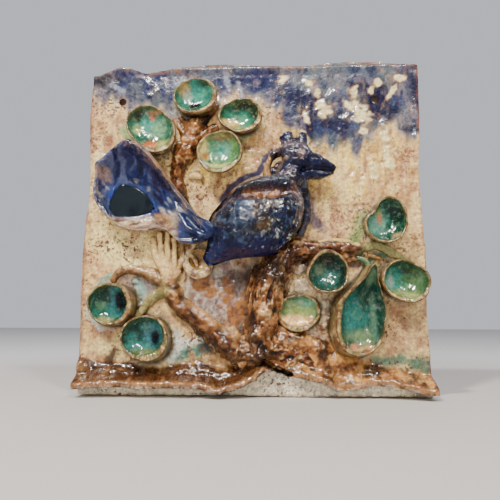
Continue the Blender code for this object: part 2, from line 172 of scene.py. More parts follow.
CREAM = colour(252, 218, 146)
BUFF = colour(212, 162, 104)
PINK_BUFF = colour(164, 106, 88)
RUST = colour(122, 60, 32)
MILK = colour(228, 232, 222)
SKY_GREY = colour(66, 82, 112)
COBALT = colour(18, 30, 92)
NAVY = colour(9, 13, 40)
HONEY = colour(186, 120, 48)
CARAMEL = colour(116, 68, 32)
BARK = colour(50, 28, 17)
# A near-black glaze, also used as painted shade in holes, hollows, at feet and below the bird.
SOOT_AND_SHADE = colour(15, 10, 9)
LILAC = colour(132, 98, 104)
DEEP_GREEN = colour(6, 38, 32)
EMERALD = colour(18, 80, 60)
TURQUOISE = colour(46, 146, 130)
PALE_GREEN = colour(124, 164, 92)
OLIVE = colour(44, 44, 22)
GOLD_CREAM = colour(255, 226, 140)
SHADOW_BLUE = colour(2, 6, 26)
SKY_BLUE = colour(96, 124, 186)
SAND = colour(196, 152, 98)


def paint(coat, *layers):
    """Lay tints over a coat of colours one after the other, each where its mask is strong."""
    for mask, tint in layers:
        mask = np.clip(mask, 0, 1)[:, None]
        coat = coat * (1 - mask) + np.asarray(tint) * mask
    return coat


def blob(x, z, centre, reach, turn=0.0, soft=0.5, ragged=0.25, size=6.0, seed=0):
    """A patch of glaze: an ellipse whose edge is soft and ragged."""
    dx, dz = x - centre[0], z - centre[1]
    c, s = math.cos(math.radians(turn)), math.sin(math.radians(turn))
    along = (dx * c + dz * s) / reach[0]
    over = (dz * c - dx * s) / reach[1]
    distance = np.hypot(along, over) + ragged * clay_noise(x, 0 * x, z, size, seed + 5, 2)
    return 1 - smooth_step(1 - soft, 1 + soft, distance)


def streak(x, z, path, width, soft=0.5, ragged=0.3, size=4.0, seed=0):
    """A run of glaze along a path of points."""
    path = np.asarray(path, float)
    nearest = np.full(x.shape, 1e9)
    for start, end in zip(path, path[1:]):
        span = end - start
        share = np.clip(((x - start[0]) * span[0] + (z - start[1]) * span[1]) / (span @ span), 0, 1)
        nearest = np.minimum(
            nearest, np.hypot(x - start[0] - share * span[0], z - start[1] - share * span[1]),
        )
    distance = nearest / width + ragged * clay_noise(x, 0 * x, z, size, seed + 9, 2)
    return 1 - smooth_step(1 - soft, 1 + soft, distance)


def masks_on(x, y, z, shift=0):
    """Three makers of masks for a piece's points: soft clouds, ragged spots and trails along a path."""

    def cloud(size, seed, low, high, stretch=1.0, octaves=3):
        return smooth_step(low, high, clay_noise(x, y, z * stretch, size, seed + shift, octaves))

    return cloud, partial(blob, x, z), partial(streak, x, z)


# Making pieces

def as_points(x, rise, z):
    return np.stack([x, -rise, z], axis=1) * MM


def mesh_piece(name, bm):
    bm.normal_update()
    bmesh.ops.recalc_face_normals(bm, faces=bm.faces[:])
    mesh = bpy.data.meshes.new(name)
    bm.to_mesh(mesh)
    bm.free()
    mesh.shade_smooth()
    piece = bpy.data.objects.new(name, mesh)
    bpy.context.scene.collection.objects.link(piece)
    return piece


def shaped_grid(columns, rows, place):
    """A grid whose corners go where place(across, along) puts them; its rows may close into a ring."""
    bm = bmesh.new()
    bmesh.ops.create_grid(bm, x_segments=columns, y_segments=rows, size=0.5)
    flat = np.array([vert.co[:2] for vert in bm.verts]) + 0.5
    for vert, point in zip(bm.verts, place(flat[:, 0], flat[:, 1])):
        vert.co = point
    return bm


def points_of(piece):
    """The piece's points in millimetres: across, rise and up."""
    co = np.empty(len(piece.data.vertices) * 3)
    piece.data.vertices.foreach_get("co", co)
    co = co.reshape(-1, 3) / MM
    return co[:, 0], -co[:, 1], co[:, 2]


def normals_of(piece):
    out = np.empty(len(piece.data.vertices) * 3)
    piece.data.vertex_normals.foreach_get("vector", out)
    return out.reshape(-1, 3)


def move_to(piece, places):
    piece.data.vertices.foreach_set("co", places.ravel())
    piece.data.update()


def push_out(piece, distance):
    """Move each point along its normal, by millimetres."""
    x, rise, z = points_of(piece)
    move_to(piece, as_points(x, rise, z) + normals_of(piece) * distance[:, None] * MM)


def store(piece, name, values):
    """Keep one number or one colour for each point of the piece, for its glaze to read."""
    if values.ndim == 1:
        piece.data.attributes.new(name, "FLOAT", "POINT").data.foreach_set("value", values.astype(np.float32))
        return
    full = np.ones((len(values), 4), np.float32)
    full[:, :3] = np.clip(values, 0, 1)
    piece.data.attributes.new(name, "FLOAT_COLOR", "POINT").data.foreach_set("color", full.ravel())


def work_in_modifiers(piece):
    """Give the piece the mesh that its modifiers make of it."""
    graph = bpy.context.evaluated_depsgraph_get()
    worked = bpy.data.meshes.new_from_object(piece.evaluated_get(graph))
    piece.modifiers.clear()
    piece.data = worked


def melt_together(name, pieces, voxel):
    """Join overlapping rolls and lumps of wet clay into one skin."""
    bm = bmesh.new()
    for piece in pieces:
        bm.from_mesh(piece.data)
    joined = mesh_piece(name, bm)
    for piece in pieces:
        bpy.data.objects.remove(piece)
    remesh = joined.modifiers.new("skin", "REMESH")
    remesh.mode = "VOXEL"
    remesh.voxel_size = voxel * MM
    work_in_modifiers(joined)
    joined.data.shade_smooth()
    return joined


def smooth(piece, times):
    """Wipe the clay with a wet finger, a number of times."""
    half_way = 0.5
    bm = bmesh.new()
    bm.from_mesh(piece.data)
    for _ in range(times):
        bmesh.ops.smooth_vert(
            bm, verts=bm.verts[:], factor=half_way, use_axis_x=True, use_axis_y=True, use_axis_z=True)
    bm.to_mesh(piece.data)
    bm.free()


def closed_skin(name, columns, rows, place):
    """A piece from a shaped grid whose ends and rows meet."""
    bm = shaped_grid(columns, rows, place)
    bmesh.ops.remove_doubles(bm, verts=bm.verts[:], dist=MEETING_GAP)
    return mesh_piece(name, bm)


def roll(name, path):
    """A roll of clay along points (across, rise, up, radius), rounded at both ends."""

    def place(around, along):
        middle = curve(path, along)
        before, after = (curve(path, np.clip(along + step, 0, 1))[:, :3] for step in (-0.01, 0.01))
        ahead = after - before
        ahead /= np.linalg.norm(ahead, axis=1)[:, None]
        side = np.cross(ahead, (0.0, 1.0, 0.0))
        side /= np.linalg.norm(side, axis=1)[:, None]
        out = np.cross(side, ahead)
        end = np.minimum(along, 1 - along)
        cap = np.sqrt(np.clip(1 - (1 - np.minimum(end / ROUNDED_END, 1)) ** 2, 0, 1))
        turn = around * math.tau
        radius = (middle[:, 3] * cap)[:, None]
        point = middle[:, :3] + radius * (np.cos(turn)[:, None] * side + np.sin(turn)[:, None] * out)
        return as_points(point[:, 0], point[:, 1], point[:, 2])

    return closed_skin(name, *ROLL_GRID, place)


def round_line(points, middle):
    """The outline, as turned() reads it, that runs smoothly through points round a middle."""
    return lambda turn: (curve(points, turn, closed=True), middle)


def turned(name, profile, outline, grid, shape=None):
    """A turned form whose section runs over profile points (share of the outline, rise).

    outline(turn) gives the outline's points at shares of a full turn, and the form's middle.
    shape(turn, along, share, x, rise, z), where given, gives the points' new x, rise and z.
    """

    def place(around, along):
        section = curve(profile, along)
        edge, middle = outline(around)
        share = np.maximum(section[:, 0], 0.0)
        x = middle[0] + share * (edge[:, 0] - middle[0])
        z = middle[1] + share * (edge[:, 1] - middle[1])
        rise = section[:, 1]
        if shape:
            x, rise, z = shape(around, along, share, x, rise, z)
        return as_points(x, rise, z)

    return closed_skin(name, *grid, place)


# The slab

LEFT_STEPS = (-1.0, 0.0, 1.0, 1.5, 1.5, 0.0, -2.5, -2.0, 0.5, 0.5, -2.0)
RIGHT_STEPS = (0.0, -0.5, -2.0, -1.5, 0.0, -2.0, -3.0, -3.0, -1.0, 0.0, -1.0)
TOP_STEPS = (-9.0, -1.0, -6.0, -2.0, 1.6, 2.6, 1.0, -1.0, 0.2, 2.9, 2.9, 1.6, -2.0)
BOTTOM_STEPS = (-1.0, 0.5, 0.0, -1.0, -0.5, 0.5, 0.0, -1.0, 0.0)
LEFT_END, RIGHT_END, BOTTOM_END, TOP_END = -151.62, 149.99, -148.53, 151.50

# The ground's lip: the height of its lower edge across the slab
LIP_EDGE = (
    (-151, -142), (-131, -140), (-108, -140), (-92, -141), (-60, -140), (-42, -141), (-29, -145), (-16, -142),
    (-6, -138), (2, -134), (9, -127), (18, -126), (30, -130), (56, -136), (70, -142), (83, -141), (98, -137),
    (119, -139), (142, -144), (151, -144),
)
GROUND_EDGE = (
    (-151, -116), (-133, -123), (-110, -123), (-78, -127), (-46, -121), (-31, -126), (-15, -124), (0, -112),
    (14, -92), (31, -93), (57, -101), (73, -111), (90, -119), (122, -127), (151, -132),
)
LIP_RISE = 29.0

# Thick runs of glaze and smears of clay that stand up from the slab: line, half width and height
GLAZE_RUNS = (
    (((118, 92), (120, 78), (119, 62), (122, 50)), 3.6, 1.3), (((105, 56), (108, 46), (109, 40)), 3.2, 1.3),
    (((-75.3, 48), (-74.7, 59), (-72.2, 68), (-67, 77), (-62.6, 83)), 2.4, 2.2),
    (((58.9, -66), (65, -70), (66, -77), (60, -86)), 5.0, 3.5),
    (((40, -54), (47, -60), (46, -68)), 4.5, 2.5),
    (((-103, -54), (-99, -62), (-98, -72), (-102, -84)), 2.6, 2.0),
    (((-70, -92), (-67, -102), (-72, -114)), 2.4, 1.8), (((-98, 134), (-92, 126), (-94, 118)), 3.0, 0.9),
    (((60, 104), (66, 110), (72, 120)), 4.0, 0.8), (((88, 96), (97, 102), (104, 92)), 6.0, 0.9),
)
CRACK = ((-5.5, -118.5), (3, -119.5), (12, -121), (21, -125), (31, -129))


def worked_clay(x, z):
    """The slow and quick dents of the beaten slab, in millimetres."""
    flat = 0 * x
    calm = 1 - 0.65 * smooth_step(72, 96, z)
    slow = 1.1 * clay_noise(x, flat, z, 45, 1) + 0.55 * clay_noise(x, flat, z, 17, 2)
    return slow, calm * (0.42 * clay_noise(x, flat, z, 7, 3, 2) + 0.22 * clay_noise(x, flat, z, 3.0, 4))


def slab_rise(x, z):
    """How far the bare front stands out: the slab with its dents, rolled edges, ground and lip."""
    flat = 0 * x
    slow, quick = worked_clay(x, z)
    rise = SLAB + slow + quick
    drip = clay_noise(x, flat, z * 0.16, 5.5, 6, 2)
    rise += 0.45 * np.maximum(drip, 0) * smooth_step(-120, -60, z)
    for path, width, height in GLAZE_RUNS:
        run = streak(x, z, path, width, 0.7, 0.3, 4, 17)
        rise += run * height * (0.7 + 0.6 * clay_noise(x, flat, z, 3.5, 18))
    to_edge = np.minimum(WIDTH / 2 - np.abs(x), HEIGHT / 2 - np.abs(z))
    rise += 2.0 * (1 - smooth_step(0, 9, to_edge)) * (0.7 + 0.5 * clay_noise(x, flat, z, 14, 7))

    lip = through(LIP_EDGE, x) + 0.8 * clay_noise(x, flat, flat, 6, 8, 2)
    top = through(GROUND_EDGE, x) + 1.6 * clay_noise(x, flat, flat, 9, 9, 2)
    ground = 1 - smooth_step(-3.0, 3.0, z - top)
    lumps = 1.6 * clay_noise(x, flat, z, 11, 10, 2) + 0.8 * ridges(clay_noise(x, flat, z, 7, 11)) - 0.4
    height = np.maximum(top - lip, 6.0)
    share = np.clip((z - lip) / height, 0, 1)
    trough = 6.0 + 3.0 * smooth_step(0.0, 1.0, share) * smooth_step(-10, 20, x) * (1 - smooth_step(20, 70, x))
    crest = LIP_RISE - SLAB + 1.5 * clay_noise(x, flat, flat, 12, 12)
    crest = crest - 5.0 * smooth_step(0, 30, x) * (1 - smooth_step(100, 148, x))
    rolled = np.exp(-np.maximum(z - lip - 3.5, 0) ** 2 / 30.0)
    rise += ground * (trough + (crest - trough) * rolled + lumps)
    rise -= ground * 2.5 * bump_at(share, 0.97, 0.25)
    under = 1 - smooth_step(-1.6, 0.2, z - lip)
    base = SLAB + 3.5 + 1.2 * clay_noise(x, flat, z, 6, 13, 2)
    rise = rise * (1 - under) + base * under
    rise -= 13.0 * streak(x, z, CRACK, 1.9, soft=0.35, ragged=0.25, seed=14)
    round_over = np.clip(1 - to_edge / 3.2, 0, 1)
    return rise - 3.0 * (1 - np.sqrt(np.clip(1 - round_over**2, 0, 1)))


def slab_place(across, along):
    ragged_x = 0.45 * clay_noise(0 * along, along * HEIGHT, across, 5, 15, 2)
    ragged_z = 0.45 * clay_noise(across * WIDTH, 0 * across, along, 5, 16, 2)
    left = -WIDTH / 2 - curve(LEFT_STEPS, along)
    right = WIDTH / 2 + curve(RIGHT_STEPS, along)
    bottom = -HEIGHT / 2 - curve(BOTTOM_STEPS, across)
    top = HEIGHT / 2 + curve(TOP_STEPS, across)
    x = left + (right - left) * across + ragged_x * (2 * across - 1)
    z = bottom + (top - bottom) * along + ragged_z * (2 * along - 1) * (along > 0.5)
    x, z = np.clip(x, LEFT_END, RIGHT_END), np.clip(z, BOTTOM_END, TOP_END)
    return as_points(x, slab_rise(x, z), z)


HOLES = ((-120.5, 114.0), (110.5, 114.0))
HOLE_DIAMETER = 6.5
NAIL_LENGTH = 0.06


def bore_holes(piece):
    """Press the two nail holes through the slab."""
    bm = bmesh.new()
    for x, z in HOLES:
        place = Matrix.Translation((x * MM, -SLAB * MM, z * MM)) @ Matrix.Rotation(math.pi / 2, 4, "X")
        half = HOLE_DIAMETER / 2 * MM
        bmesh.ops.create_cone(
            bm, cap_ends=True, segments=32, radius1=half, radius2=half, depth=NAIL_LENGTH, matrix=place)
    cutter = mesh_piece("hole_cutter", bm)
    cut = piece.modifiers.new("holes", "BOOLEAN")
    cut.operation = "DIFFERENCE"
    cut.solver = "MANIFOLD"
    cut.object = cutter
    work_in_modifiers(piece)
    bpy.data.objects.remove(cutter)


def make_slab():
    bm = shaped_grid(*SLAB_GRID, slab_place)
    pushed = bmesh.ops.extrude_face_region(bm, geom=bm.faces[:])["geom"]
    back_faces = [g for g in pushed if isinstance(g, bmesh.types.BMFace)]
    for vert in (g for g in pushed if isinstance(g, bmesh.types.BMVert)):
        vert.co.y = 0.0
    bmesh.ops.dissolve_faces(bm, faces=back_faces, use_verts=True)
    slab = mesh_piece("slab", bm)
    bore_holes(slab)
    slab.data.shade_smooth()
    slab.data.set_sharp_from_angle(angle=SHARP_EDGE)
    for face in slab.data.polygons:
        if face.normal.y > 0.99:
            face.use_smooth = False
    return slab


# The tree: rolls of clay (across, up, radius), melted into one skin and scored into bark

BRANCHES = {
    "trunk": (
        (30, -20, 11), (24, -34, 14), (14, -56, 15.5), (10, -78, 15), (6, -96, 15), (2, -112, 14),
        (-3, -121, 10),
    ),
    "trunk_side": ((22, -40, 10), (23, -56, 8), (17, -74, 7.5), (16, -94, 8), (24, -112, 8)),
    "trunk_left": ((8, -40, 8), (0, -58, 5.5), (1, -78, 5), (0, -98, 7)),
    "right_branch": (
        (20, -34, 11), (33, -27, 12), (46, -25, 10), (58, -23, 8.5), (72, -22, 8), (86, -23, 6.5),
        (98, -22, 4.5),
    ),
    "branch_crest_1": ((34, -20, 6), (42, -17.5, 5.5), (50, -21, 4.5), (58, -20, 5), (67, -20, 5)),
    "branch_crest_2": ((64, -20, 4.5), (75, -17.5, 4.8), (84, -20, 4.5), (94, -23, 4)),
    "branch_under": ((52, -30, 5), (62, -30, 4.5), (78, -29, 4.5), (88, -28, 4)),
    "left_branch": (
        (0, -116, 14), (-20, -103, 13), (-37, -92, 10.5), (-53, -80, 9), (-66, -68, 8.2), (-75, -55, 7.5),
    ),
    "left_arc": (
        (-72, -57, 7), (-86, -47, 6), (-99, -42.5, 5), (-110, -41, 4.5), (-119, -45, 4), (-123, -52, 3),
    ),
    "low_leaf_stem": ((-74, -58, 5.5), (-86, -65, 4.5), (-92, -71, 4), (-98, -80, 3.5), (-102, -84, 3)),
    "upper_stem": (
        (-44, -6, 3.8), (-53, 6, 4.2), (-60, 17, 4.6), (-64, 28, 5), (-68, 41, 6), (-67, 52, 7.4),
        (-62, 64, 10.5), (-56.5, 73, 9.8), (-54.5, 84, 8.2), (-54, 97, 8.5),
    ),
    "stem_fork_left": ((-60, 74, 5), (-64, 83, 3.4), (-68, 91, 2.8), (-73, 98, 2.4)),
    "stem_fork_right": ((-54, 72, 6), (-46, 80, 4.8), (-39, 86, 4.6), (-32, 90, 4)),
    "stem_edge_right": ((-50, 84, 4), (-47, 90, 3.6), (-41, 98, 3), (-36, 105, 2.6), (-33, 112, 2)),
    "stem_edge_left": ((-58, 84, 3.5), (-62, 92, 3), (-68, 99, 2.6)),
    "stem_to_middle_right": ((-62, 62, 7), (-54, 64, 6), (-48, 66, 5)),
    "stem_end": ((-58.5, 42, 2.6), (-52, 43.5, 3.6), (-45, 41.5, 2.8)),
    "twig_loop": ((77, -36, 2.5), (84, -32.5, 2.6), (91, -31.5, 2.6), (97, -33.5, 3.2), (101.5, -40, 3.4)),
    "twig_to_right_edge": (
        (88, -21, 4.5), (98, -22, 4.2), (106, -20, 4), (114, -22.5, 4), (122, -28, 3.6), (131, -32, 3),
        (139, -38, 2.4),
    ),
    "twig_pin": ((98.5, -29, 2.2), (105.5, -30, 2.4), (111, -32, 2.2)),
    "root_right": ((6, -104, 11), (22, -112, 11), (38, -116, 9), (56, -122, 6)),
    "root_ridge": ((22, -88, 5), (34, -100, 6), (48, -109, 6), (64, -116, 5)),
    "knot": ((35, -23, 4.5), (43, -21.5, 5), (49, -27, 5), (49, -35, 4.5), (42, -40, 4.5), (37, -46, 4)),
    "junction": ((-84, -49, 5), (-74, -54, 7.5), (-64, -66, 7)),
}

# Rolls that stand clear of the slab (across, rise, up, radius)
RAISED_ROLLS = {
    "curl_loop": (
        (-48, 17, -17, 3.0), (-54.5, 19, -24, 2.4), (-57.5, 20, -32, 2.2), (-56, 21, -40, 3.4),
        (-50, 21, -45.5, 4.0), (-42, 21, -45, 4.0), (-36.5, 20, -39.5, 3.2),
    ),
    "curl_tongue": ((-55, 18, -28, 2.0), (-49.5, 19, -33, 2.6), (-47.5, 19, -39, 2.2)),
    "strand_1": ((-73, 17, -52, 3.2), (-80, 16.5, -40, 3.0), (-86, 16, -26, 3.0), (-88, 15, -12, 2.8)),
    "strand_2": ((-73, 17, -50, 3.0), (-77, 17, -38, 2.7), (-80.5, 16.5, -24, 2.6), (-82, 16, -8, 2.6)),
    "strand_3": ((-72, 17, -50, 3.0), (-73, 17, -38, 2.7), (-74.5, 17, -24, 2.6), (-75, 16, -7, 2.6)),
    "strand_4": ((-71, 17, -52, 3.0), (-68.5, 17, -40, 2.6), (-68, 16.5, -28, 2.6), (-69, 16, -12, 2.6)),
    "strand_5": ((-70, 17, -54, 2.8), (-64, 16.5, -42, 2.6), (-61.5, 16, -30, 2.4), (-62.5, 15, -18, 2.0)),
}
TREE_VOXEL = 0.85
TREE_FOOT = 7
GRAIN_STEPS = 60
GRAIN_APART = 70
HEAD_VOXEL = 0.6


def make_tree():
    """Rolls melted into one skin, cut off at the wall, with bark that follows each roll's line."""
    rolls, guide = [], []
    lines = {
        name: [(x, SLAB + 0.15 * radius, z, radius) for x, z, radius in path]
        for name, path in BRANCHES.items()
    }
    for number, (name, sunk) in enumerate([*lines.items(), *RAISED_ROLLS.items()]):
        rolls.append(roll(name, sunk))
        line = curve(sunk, np.linspace(0, 1, GRAIN_STEPS))
        steps = np.gradient(line[:, [0, 2]], axis=0)
        length = np.cumsum(np.hypot(*steps.T))
        flow = steps / np.linalg.norm(steps, axis=1)[:, None]
        guide += [
            (*line[k, [0, 1, 2]], *flow[k], length[k] + GRAIN_APART * number, line[k, 3])
            for k in range(len(line))
        ]
    tree = melt_together("tree", rolls, TREE_VOXEL)
    bm = bmesh.new()
    bm.from_mesh(tree.data)
    bmesh.ops.bisect_plane(
        bm, geom=bm.verts[:] + bm.edges[:] + bm.faces[:], plane_co=(0, -TREE_FOOT * MM, 0),
        plane_no=(0, 1, 0), clear_outer=True,
    )
    rim = [edge for edge in bm.edges if edge.is_boundary]
    bmesh.ops.contextual_create(bm, geom=rim)
    bm.to_mesh(tree.data)
    bm.free()
    smooth(tree, 2)

    x, rise, z = points_of(tree)
    find = KDTree(len(guide))
    for k, entry in enumerate(guide):
        find.insert(entry[:3], k)
    find.balance()
    near = np.array([guide[find.find(point)[1]] for point in zip(x, rise, z)])
    along = near[:, 5] + (x - near[:, 0]) * near[:, 3] + (z - near[:, 2]) * near[:, 4]
    over = (x - near[:, 0]) * near[:, 4] - (z - near[:, 2]) * near[:, 3]
    thick = smooth_step(3.0, 12.0, near[:, 6])
    grain = ridges(clay_noise(along * 0.42, over, rise * 0.6, 4.6, 20, 2))
    lumps = clay_noise(x, rise, z, 9.0, 21, 2)
    knobs = ridges(clay_noise(x, rise, z, 6.0, 23, 2))
    crumbs = clay_noise(x, rise, z, 2.2, 22, 2)
    calm = smooth_step(-14, -34, x) * smooth_step(-40, -56, z)
    relief = 0.9 * (grain - 0.5) + 0.8 * (knobs - 0.5) * smooth_step(-0.5, 0.5, lumps) + 0.45 * crumbs
    relief = relief * (1 - 0.5 * calm)
    push_out(tree, (0.35 + 1.1 * thick) * relief + (0.4 + 2.1 * thick) * lumps)
    return tree, near, relief, lumps


# Leaves: pinched cups. The rim's line is an oval: its middle, half length, half width and lean. The
# foot's outline is the rim's, smaller or larger, and moved; the rim stands highest towards one side.
# pulls: towards where, in degrees, the rim is pulled out or in, and how far. thick: where the wall is
# thicker, and by how much. tone: the green's shares of red, green and blue. pool: a dark pool's place

LEAVES = {
    "upper_left": dict(
        middle=(-91, 84), half=(24.5, 18.5), lean=-41, pulls=((-80, 1.0),),
        rise=28, foot=0.74, move=(0, -1), tilt=0.10, high=-50, thick=(-60, 2.4), tone=(2.1, 1.3, 1.3)),
    "top": dict(
        middle=(-52.5, 114), half=(19, 16.5), lean=8, pulls=((120, -0.8),),
        rise=27, foot=0.86, move=(1, -1), tilt=0.08, high=-30, thick=(-20, 2.4), tone=(1.4, 1.1, 1.05),
        pool=((-51.5, 105.5), (4.8, 3.0))),
    "upper_right": dict(
        middle=(-12.5, 94.5), half=(19.5, 15), lean=6, pulls=((-140, -2.0), (60, 0.8)),
        rise=27, foot=0.72, move=(1, 0), tilt=0.10, high=-10, thick=(-45, 2.4), tone=(2.0, 1.2, 1.0)),
    "middle_right": dict(
        middle=(-29, 61), half=(20, 18.5), lean=20, pulls=((-40, -0.8),),
        rise=31, foot=0.58, move=(0, 3), tilt=0.08, high=-90, thick=(-70, 2.6), tone=(1.15, 1.2, 1.05)),
    "lower_left": dict(
        middle=(-122, -71.5), half=(18.5, 17.5), lean=0, pulls=((-150, -0.8),),
        rise=28, foot=0.98, move=(1, -1), tilt=0.06, high=10, thick=(-10, 2.8), tone=(0.85, 0.68, 0.68),
        pool=((-112.2, -69), (6.2, 8.0))),
    "low_by_ground": dict(
        middle=(-91, -98.5), half=(20, 17.5), lean=0, pulls=((140, -0.6),),
        rise=29, foot=0.98, move=(0.5, -1.5), tilt=0.06, high=-20, thick=(-60, 4.2), tone=(1.1, 0.68, 0.78),
        pool=((-82, -99.5), (3.8, 5.6))),
    "right_edge_upper": dict(
        middle=(114.5, 0.5), half=(20.5, 17), lean=76, taper=0.10, pulls=((140, -4.0), (190, 2.0)),
        rise=27, foot=0.80, move=(-1, 1), tilt=0.08, high=-60, tone=(0.85, 0.8, 0.75)),
    "under_branch": dict(
        middle=(62.5, -44.5), half=(18, 17), lean=60, pulls=((145, -1.8), (-40, 1.4)),
        rise=30, foot=0.76, move=(-1, 2), tilt=0.08, high=-70, thick=(100, 1.0), tone=(1.1, 0.58, 0.66)),
    "right_edge_lower": dict(
        middle=(127, -51.5), half=(19.5, 17), lean=-20, pulls=((60, -1.0),),
        rise=32, foot=0.80, move=(-2, 1), tilt=0.08, high=-50, thick=(-80, 1.6), tone=(1.0, 0.88, 0.88)),
    "by_trunk": dict(
        middle=(39, -78), half=(18, 15), lean=4, pulls=((-45, -1.2),),
        rise=20, foot=0.96, move=(0, 0), tilt=0.14, high=-100, thick=(-90, 2.0), tone=(1.45, 1.0, 1.0)),
    "pear": dict(
        middle=(92, -74.5), half=(40, 18.5), lean=79, taper=0.28, neck=0.58, bend=3.0,
        rise=31, foot=1.0, move=(-3.5, -1), tilt=0.06, high=-110, thick=(180, 3.0), tone=(1.0, 0.68, 0.76)),
    "curl": dict(
        middle=(-46, -34), half=(11.6, 11), lean=0,
        rise=18, foot=0.9, move=(0, 0), tilt=0.10, high=-120, thick=(-60, 1.0)),
}
LEAF_WALL = 1.9
LEAF_FLOOR_SHARE = 0.42
OVAL_STEPS = 36
OVAL_FULLNESS = 0.93
PULL_SHARPNESS = 6

# How many points a closed line is measured at
LEAF_TURNS = 720
POOL_TURNS = 400


def rim_line(leaf):
    """The rim's line: an oval narrower at its far end, with a neck where it has one, pulled out or in."""
    angle = np.arange(OVAL_STEPS) / OVAL_STEPS * math.tau
    c, s = np.cos(angle), np.sin(angle)
    along = leaf["half"][0] * np.sign(c) * np.abs(c) ** OVAL_FULLNESS
    over = leaf["half"][1] * np.sign(s) * np.abs(s) ** OVAL_FULLNESS * (1 - leaf.get("taper", 0.0) * c)
    narrowed = 1 - leaf.get("neck", 0.0) * smooth_step(0.0, 0.8, c)
    over = over * narrowed - leaf.get("bend", 0.0) * smooth_step(0, 1, c)
    lean = math.radians(leaf["lean"])
    x = along * math.cos(lean) - over * math.sin(lean)
    z = along * math.sin(lean) + over * math.cos(lean)
    side, reach = np.arctan2(z, x), np.hypot(x, z)
    pulled = reach
    for towards, amount in leaf.get("pulls", ()):
        pulled = pulled + amount * np.maximum(np.cos(side - math.radians(towards)), 0) ** PULL_SHARPNESS
    return np.stack([leaf["middle"][0] + x * pulled / reach, leaf["middle"][1] + z * pulled / reach], axis=1)


for each_leaf in LEAVES.values():
    each_leaf["edge"] = rim_line(each_leaf)


def turn_and_distance(x, z, middle):
    """Where points lie as seen from a middle: the share of a turn from the right, and how far."""
    return np.arctan2(z - middle[1], x - middle[0]) / math.tau, np.hypot(x - middle[0], z - middle[1])


def middle_of(edge):
    return np.mean(np.asarray(edge, float), axis=0)


def thicker(leaf, turn):
    """How much thicker than elsewhere a leaf's wall is, in millimetres, at shares of a turn."""
    side, extra = leaf.get("thick", (0, 0.0))
    return extra * np.maximum(np.cos(np.asarray(turn) * math.tau - math.radians(side)), 0.0) ** 1.5


def leaf_reach(leaf, turn):
    """How far a leaf's rim lies from its middle: a thick wall stands out past the edge's line."""
    return reach_round(leaf["edge"], middle_of(leaf["edge"]), turn) + 0.8 * thicker(leaf, turn)


def inner_share(leaf, span, turn):
    """Where the wall ends inside, as a share of the rim's reach."""
    return 1 - (LEAF_WALL + thicker(leaf, turn)) / (span + 0.8 * thicker(leaf, turn))


def turns(steps):
    return np.linspace(0, 1, steps, endpoint=False)


def reach_round(edge, middle, turn, steps=LEAF_TURNS):
    """How far the closed line of an edge lies from a middle, at shares of a turn from the right."""
    line = curve(edge, turns(steps), closed=True) - middle
    angle = np.arctan2(line[:, 1], line[:, 0]) / math.tau % 1.0
    order = np.argsort(angle)
    return np.interp(
        np.asarray(turn) % 1.0, angle[order], np.hypot(line[:, 0], line[:, 1])[order], period=1.0,
    )


def mean_reach(leaf):
    return float(np.mean(reach_round(leaf["edge"], middle_of(leaf["edge"]), turns(LEAF_TURNS))))


def make_leaf(name, number):
    """A pinched cup of thin clay whose inside falls in a bowl to its floor."""
    leaf = LEAVES[name]
    middle = middle_of(leaf["edge"])
    rim, foot, high = leaf["rise"] - SLAB, leaf["foot"], math.radians(leaf["high"])
    span = mean_reach(leaf)
    inner = 1 - LEAF_WALL / span
    floor = LEAF_FLOOR_SHARE * rim
    profile = np.array([
        (0.0, -4.0), (foot, -4.0), (foot + 0.02, -0.5), (foot + 0.02, 0.12 * rim),
        (0.4 + 0.6 * foot, 0.40 * rim), (0.97 + 0.03 * foot, 0.74 * rim), (1.0, 0.90 * rim),
        (0.99, 0.97 * rim), (0.5 + 0.5 * inner, rim), (inner, 0.97 * rim), (inner - 0.03, 0.88 * rim),
        (inner * 0.92, floor + 0.66 * (rim - floor)), (inner * 0.80, floor + 0.42 * (rim - floor)),
        (inner * 0.62, floor + 0.20 * (rim - floor)), (inner * 0.42, floor + 0.07 * (rim - floor)),
        (inner * 0.2, floor + 0.01 * rim), (0.0, floor),
    ])
    profile[:, 1] += SLAB

    def outline(turn):
        angle = turn * math.tau
        reach = leaf_reach(leaf, turn)
        reach = reach * (1 + 0.02 * clay_noise(np.cos(angle), np.sin(angle), 0 * angle, 0.45, 40 + number, 2))
        edge = (middle[0] + reach * np.cos(angle), middle[1] + reach * np.sin(angle))
        return np.stack(edge, axis=1), middle

    def pinch(turn, along, share, x, rise, z):
        angle = turn * math.tau
        narrow = 1 + (inner_share(leaf, span, turn) / inner - 1) * smooth_step(0.54, 0.58, along)
        x, z = middle[0] + (x - middle[0]) * narrow, middle[1] + (z - middle[1]) * narrow
        raised = smooth_step(SLAB, SLAB + 6, rise)
        low = 1 - np.clip((rise - SLAB) / rim, 0, 1)
        outer = 1 - smooth_step(0.50, 0.58, along)
        x, z = x + leaf["move"][0] * low * outer * share, z + leaf["move"][1] * low * outer * share
        rise = rise + raised * share * leaf["tilt"] * rim * np.cos(angle - high)
        wave = clay_noise(np.cos(angle) * 2, np.sin(angle) * 2, 0 * x, 0.8, 60 + number, 3)
        rise = rise + raised * share**2 * 1.5 * wave
        on_wall = smooth_step(0.70, 0.62, along)
        coarse = 0.5 * clay_noise(x, rise, z, 6, 80 + number, 2)
        fine = 0.28 * clay_noise(x, rise, z, 2.2, 81 + number)
        in_bowl = 0.35 * clay_noise(x, rise, z, 9, 82 + number)
        dents = (coarse + fine) * on_wall + (1 - on_wall) * in_bowl
        lobe = (1 - inner_share(leaf, span, turn) - LEAF_WALL / span) * span
        crimps = np.maximum(np.sin(angle * 44 + 3 * wave), -0.3) * on_wall * smooth_step(0.3, 0.5, along)
        return x, rise + raised * dents + 0.35 * np.clip(lobe, 0, 3) * crimps, z

    return turned("leaf_" + name, profile, outline, LEAF_GRID, pinch)


# The bird: outlines are points round the form, anticlockwise from the right

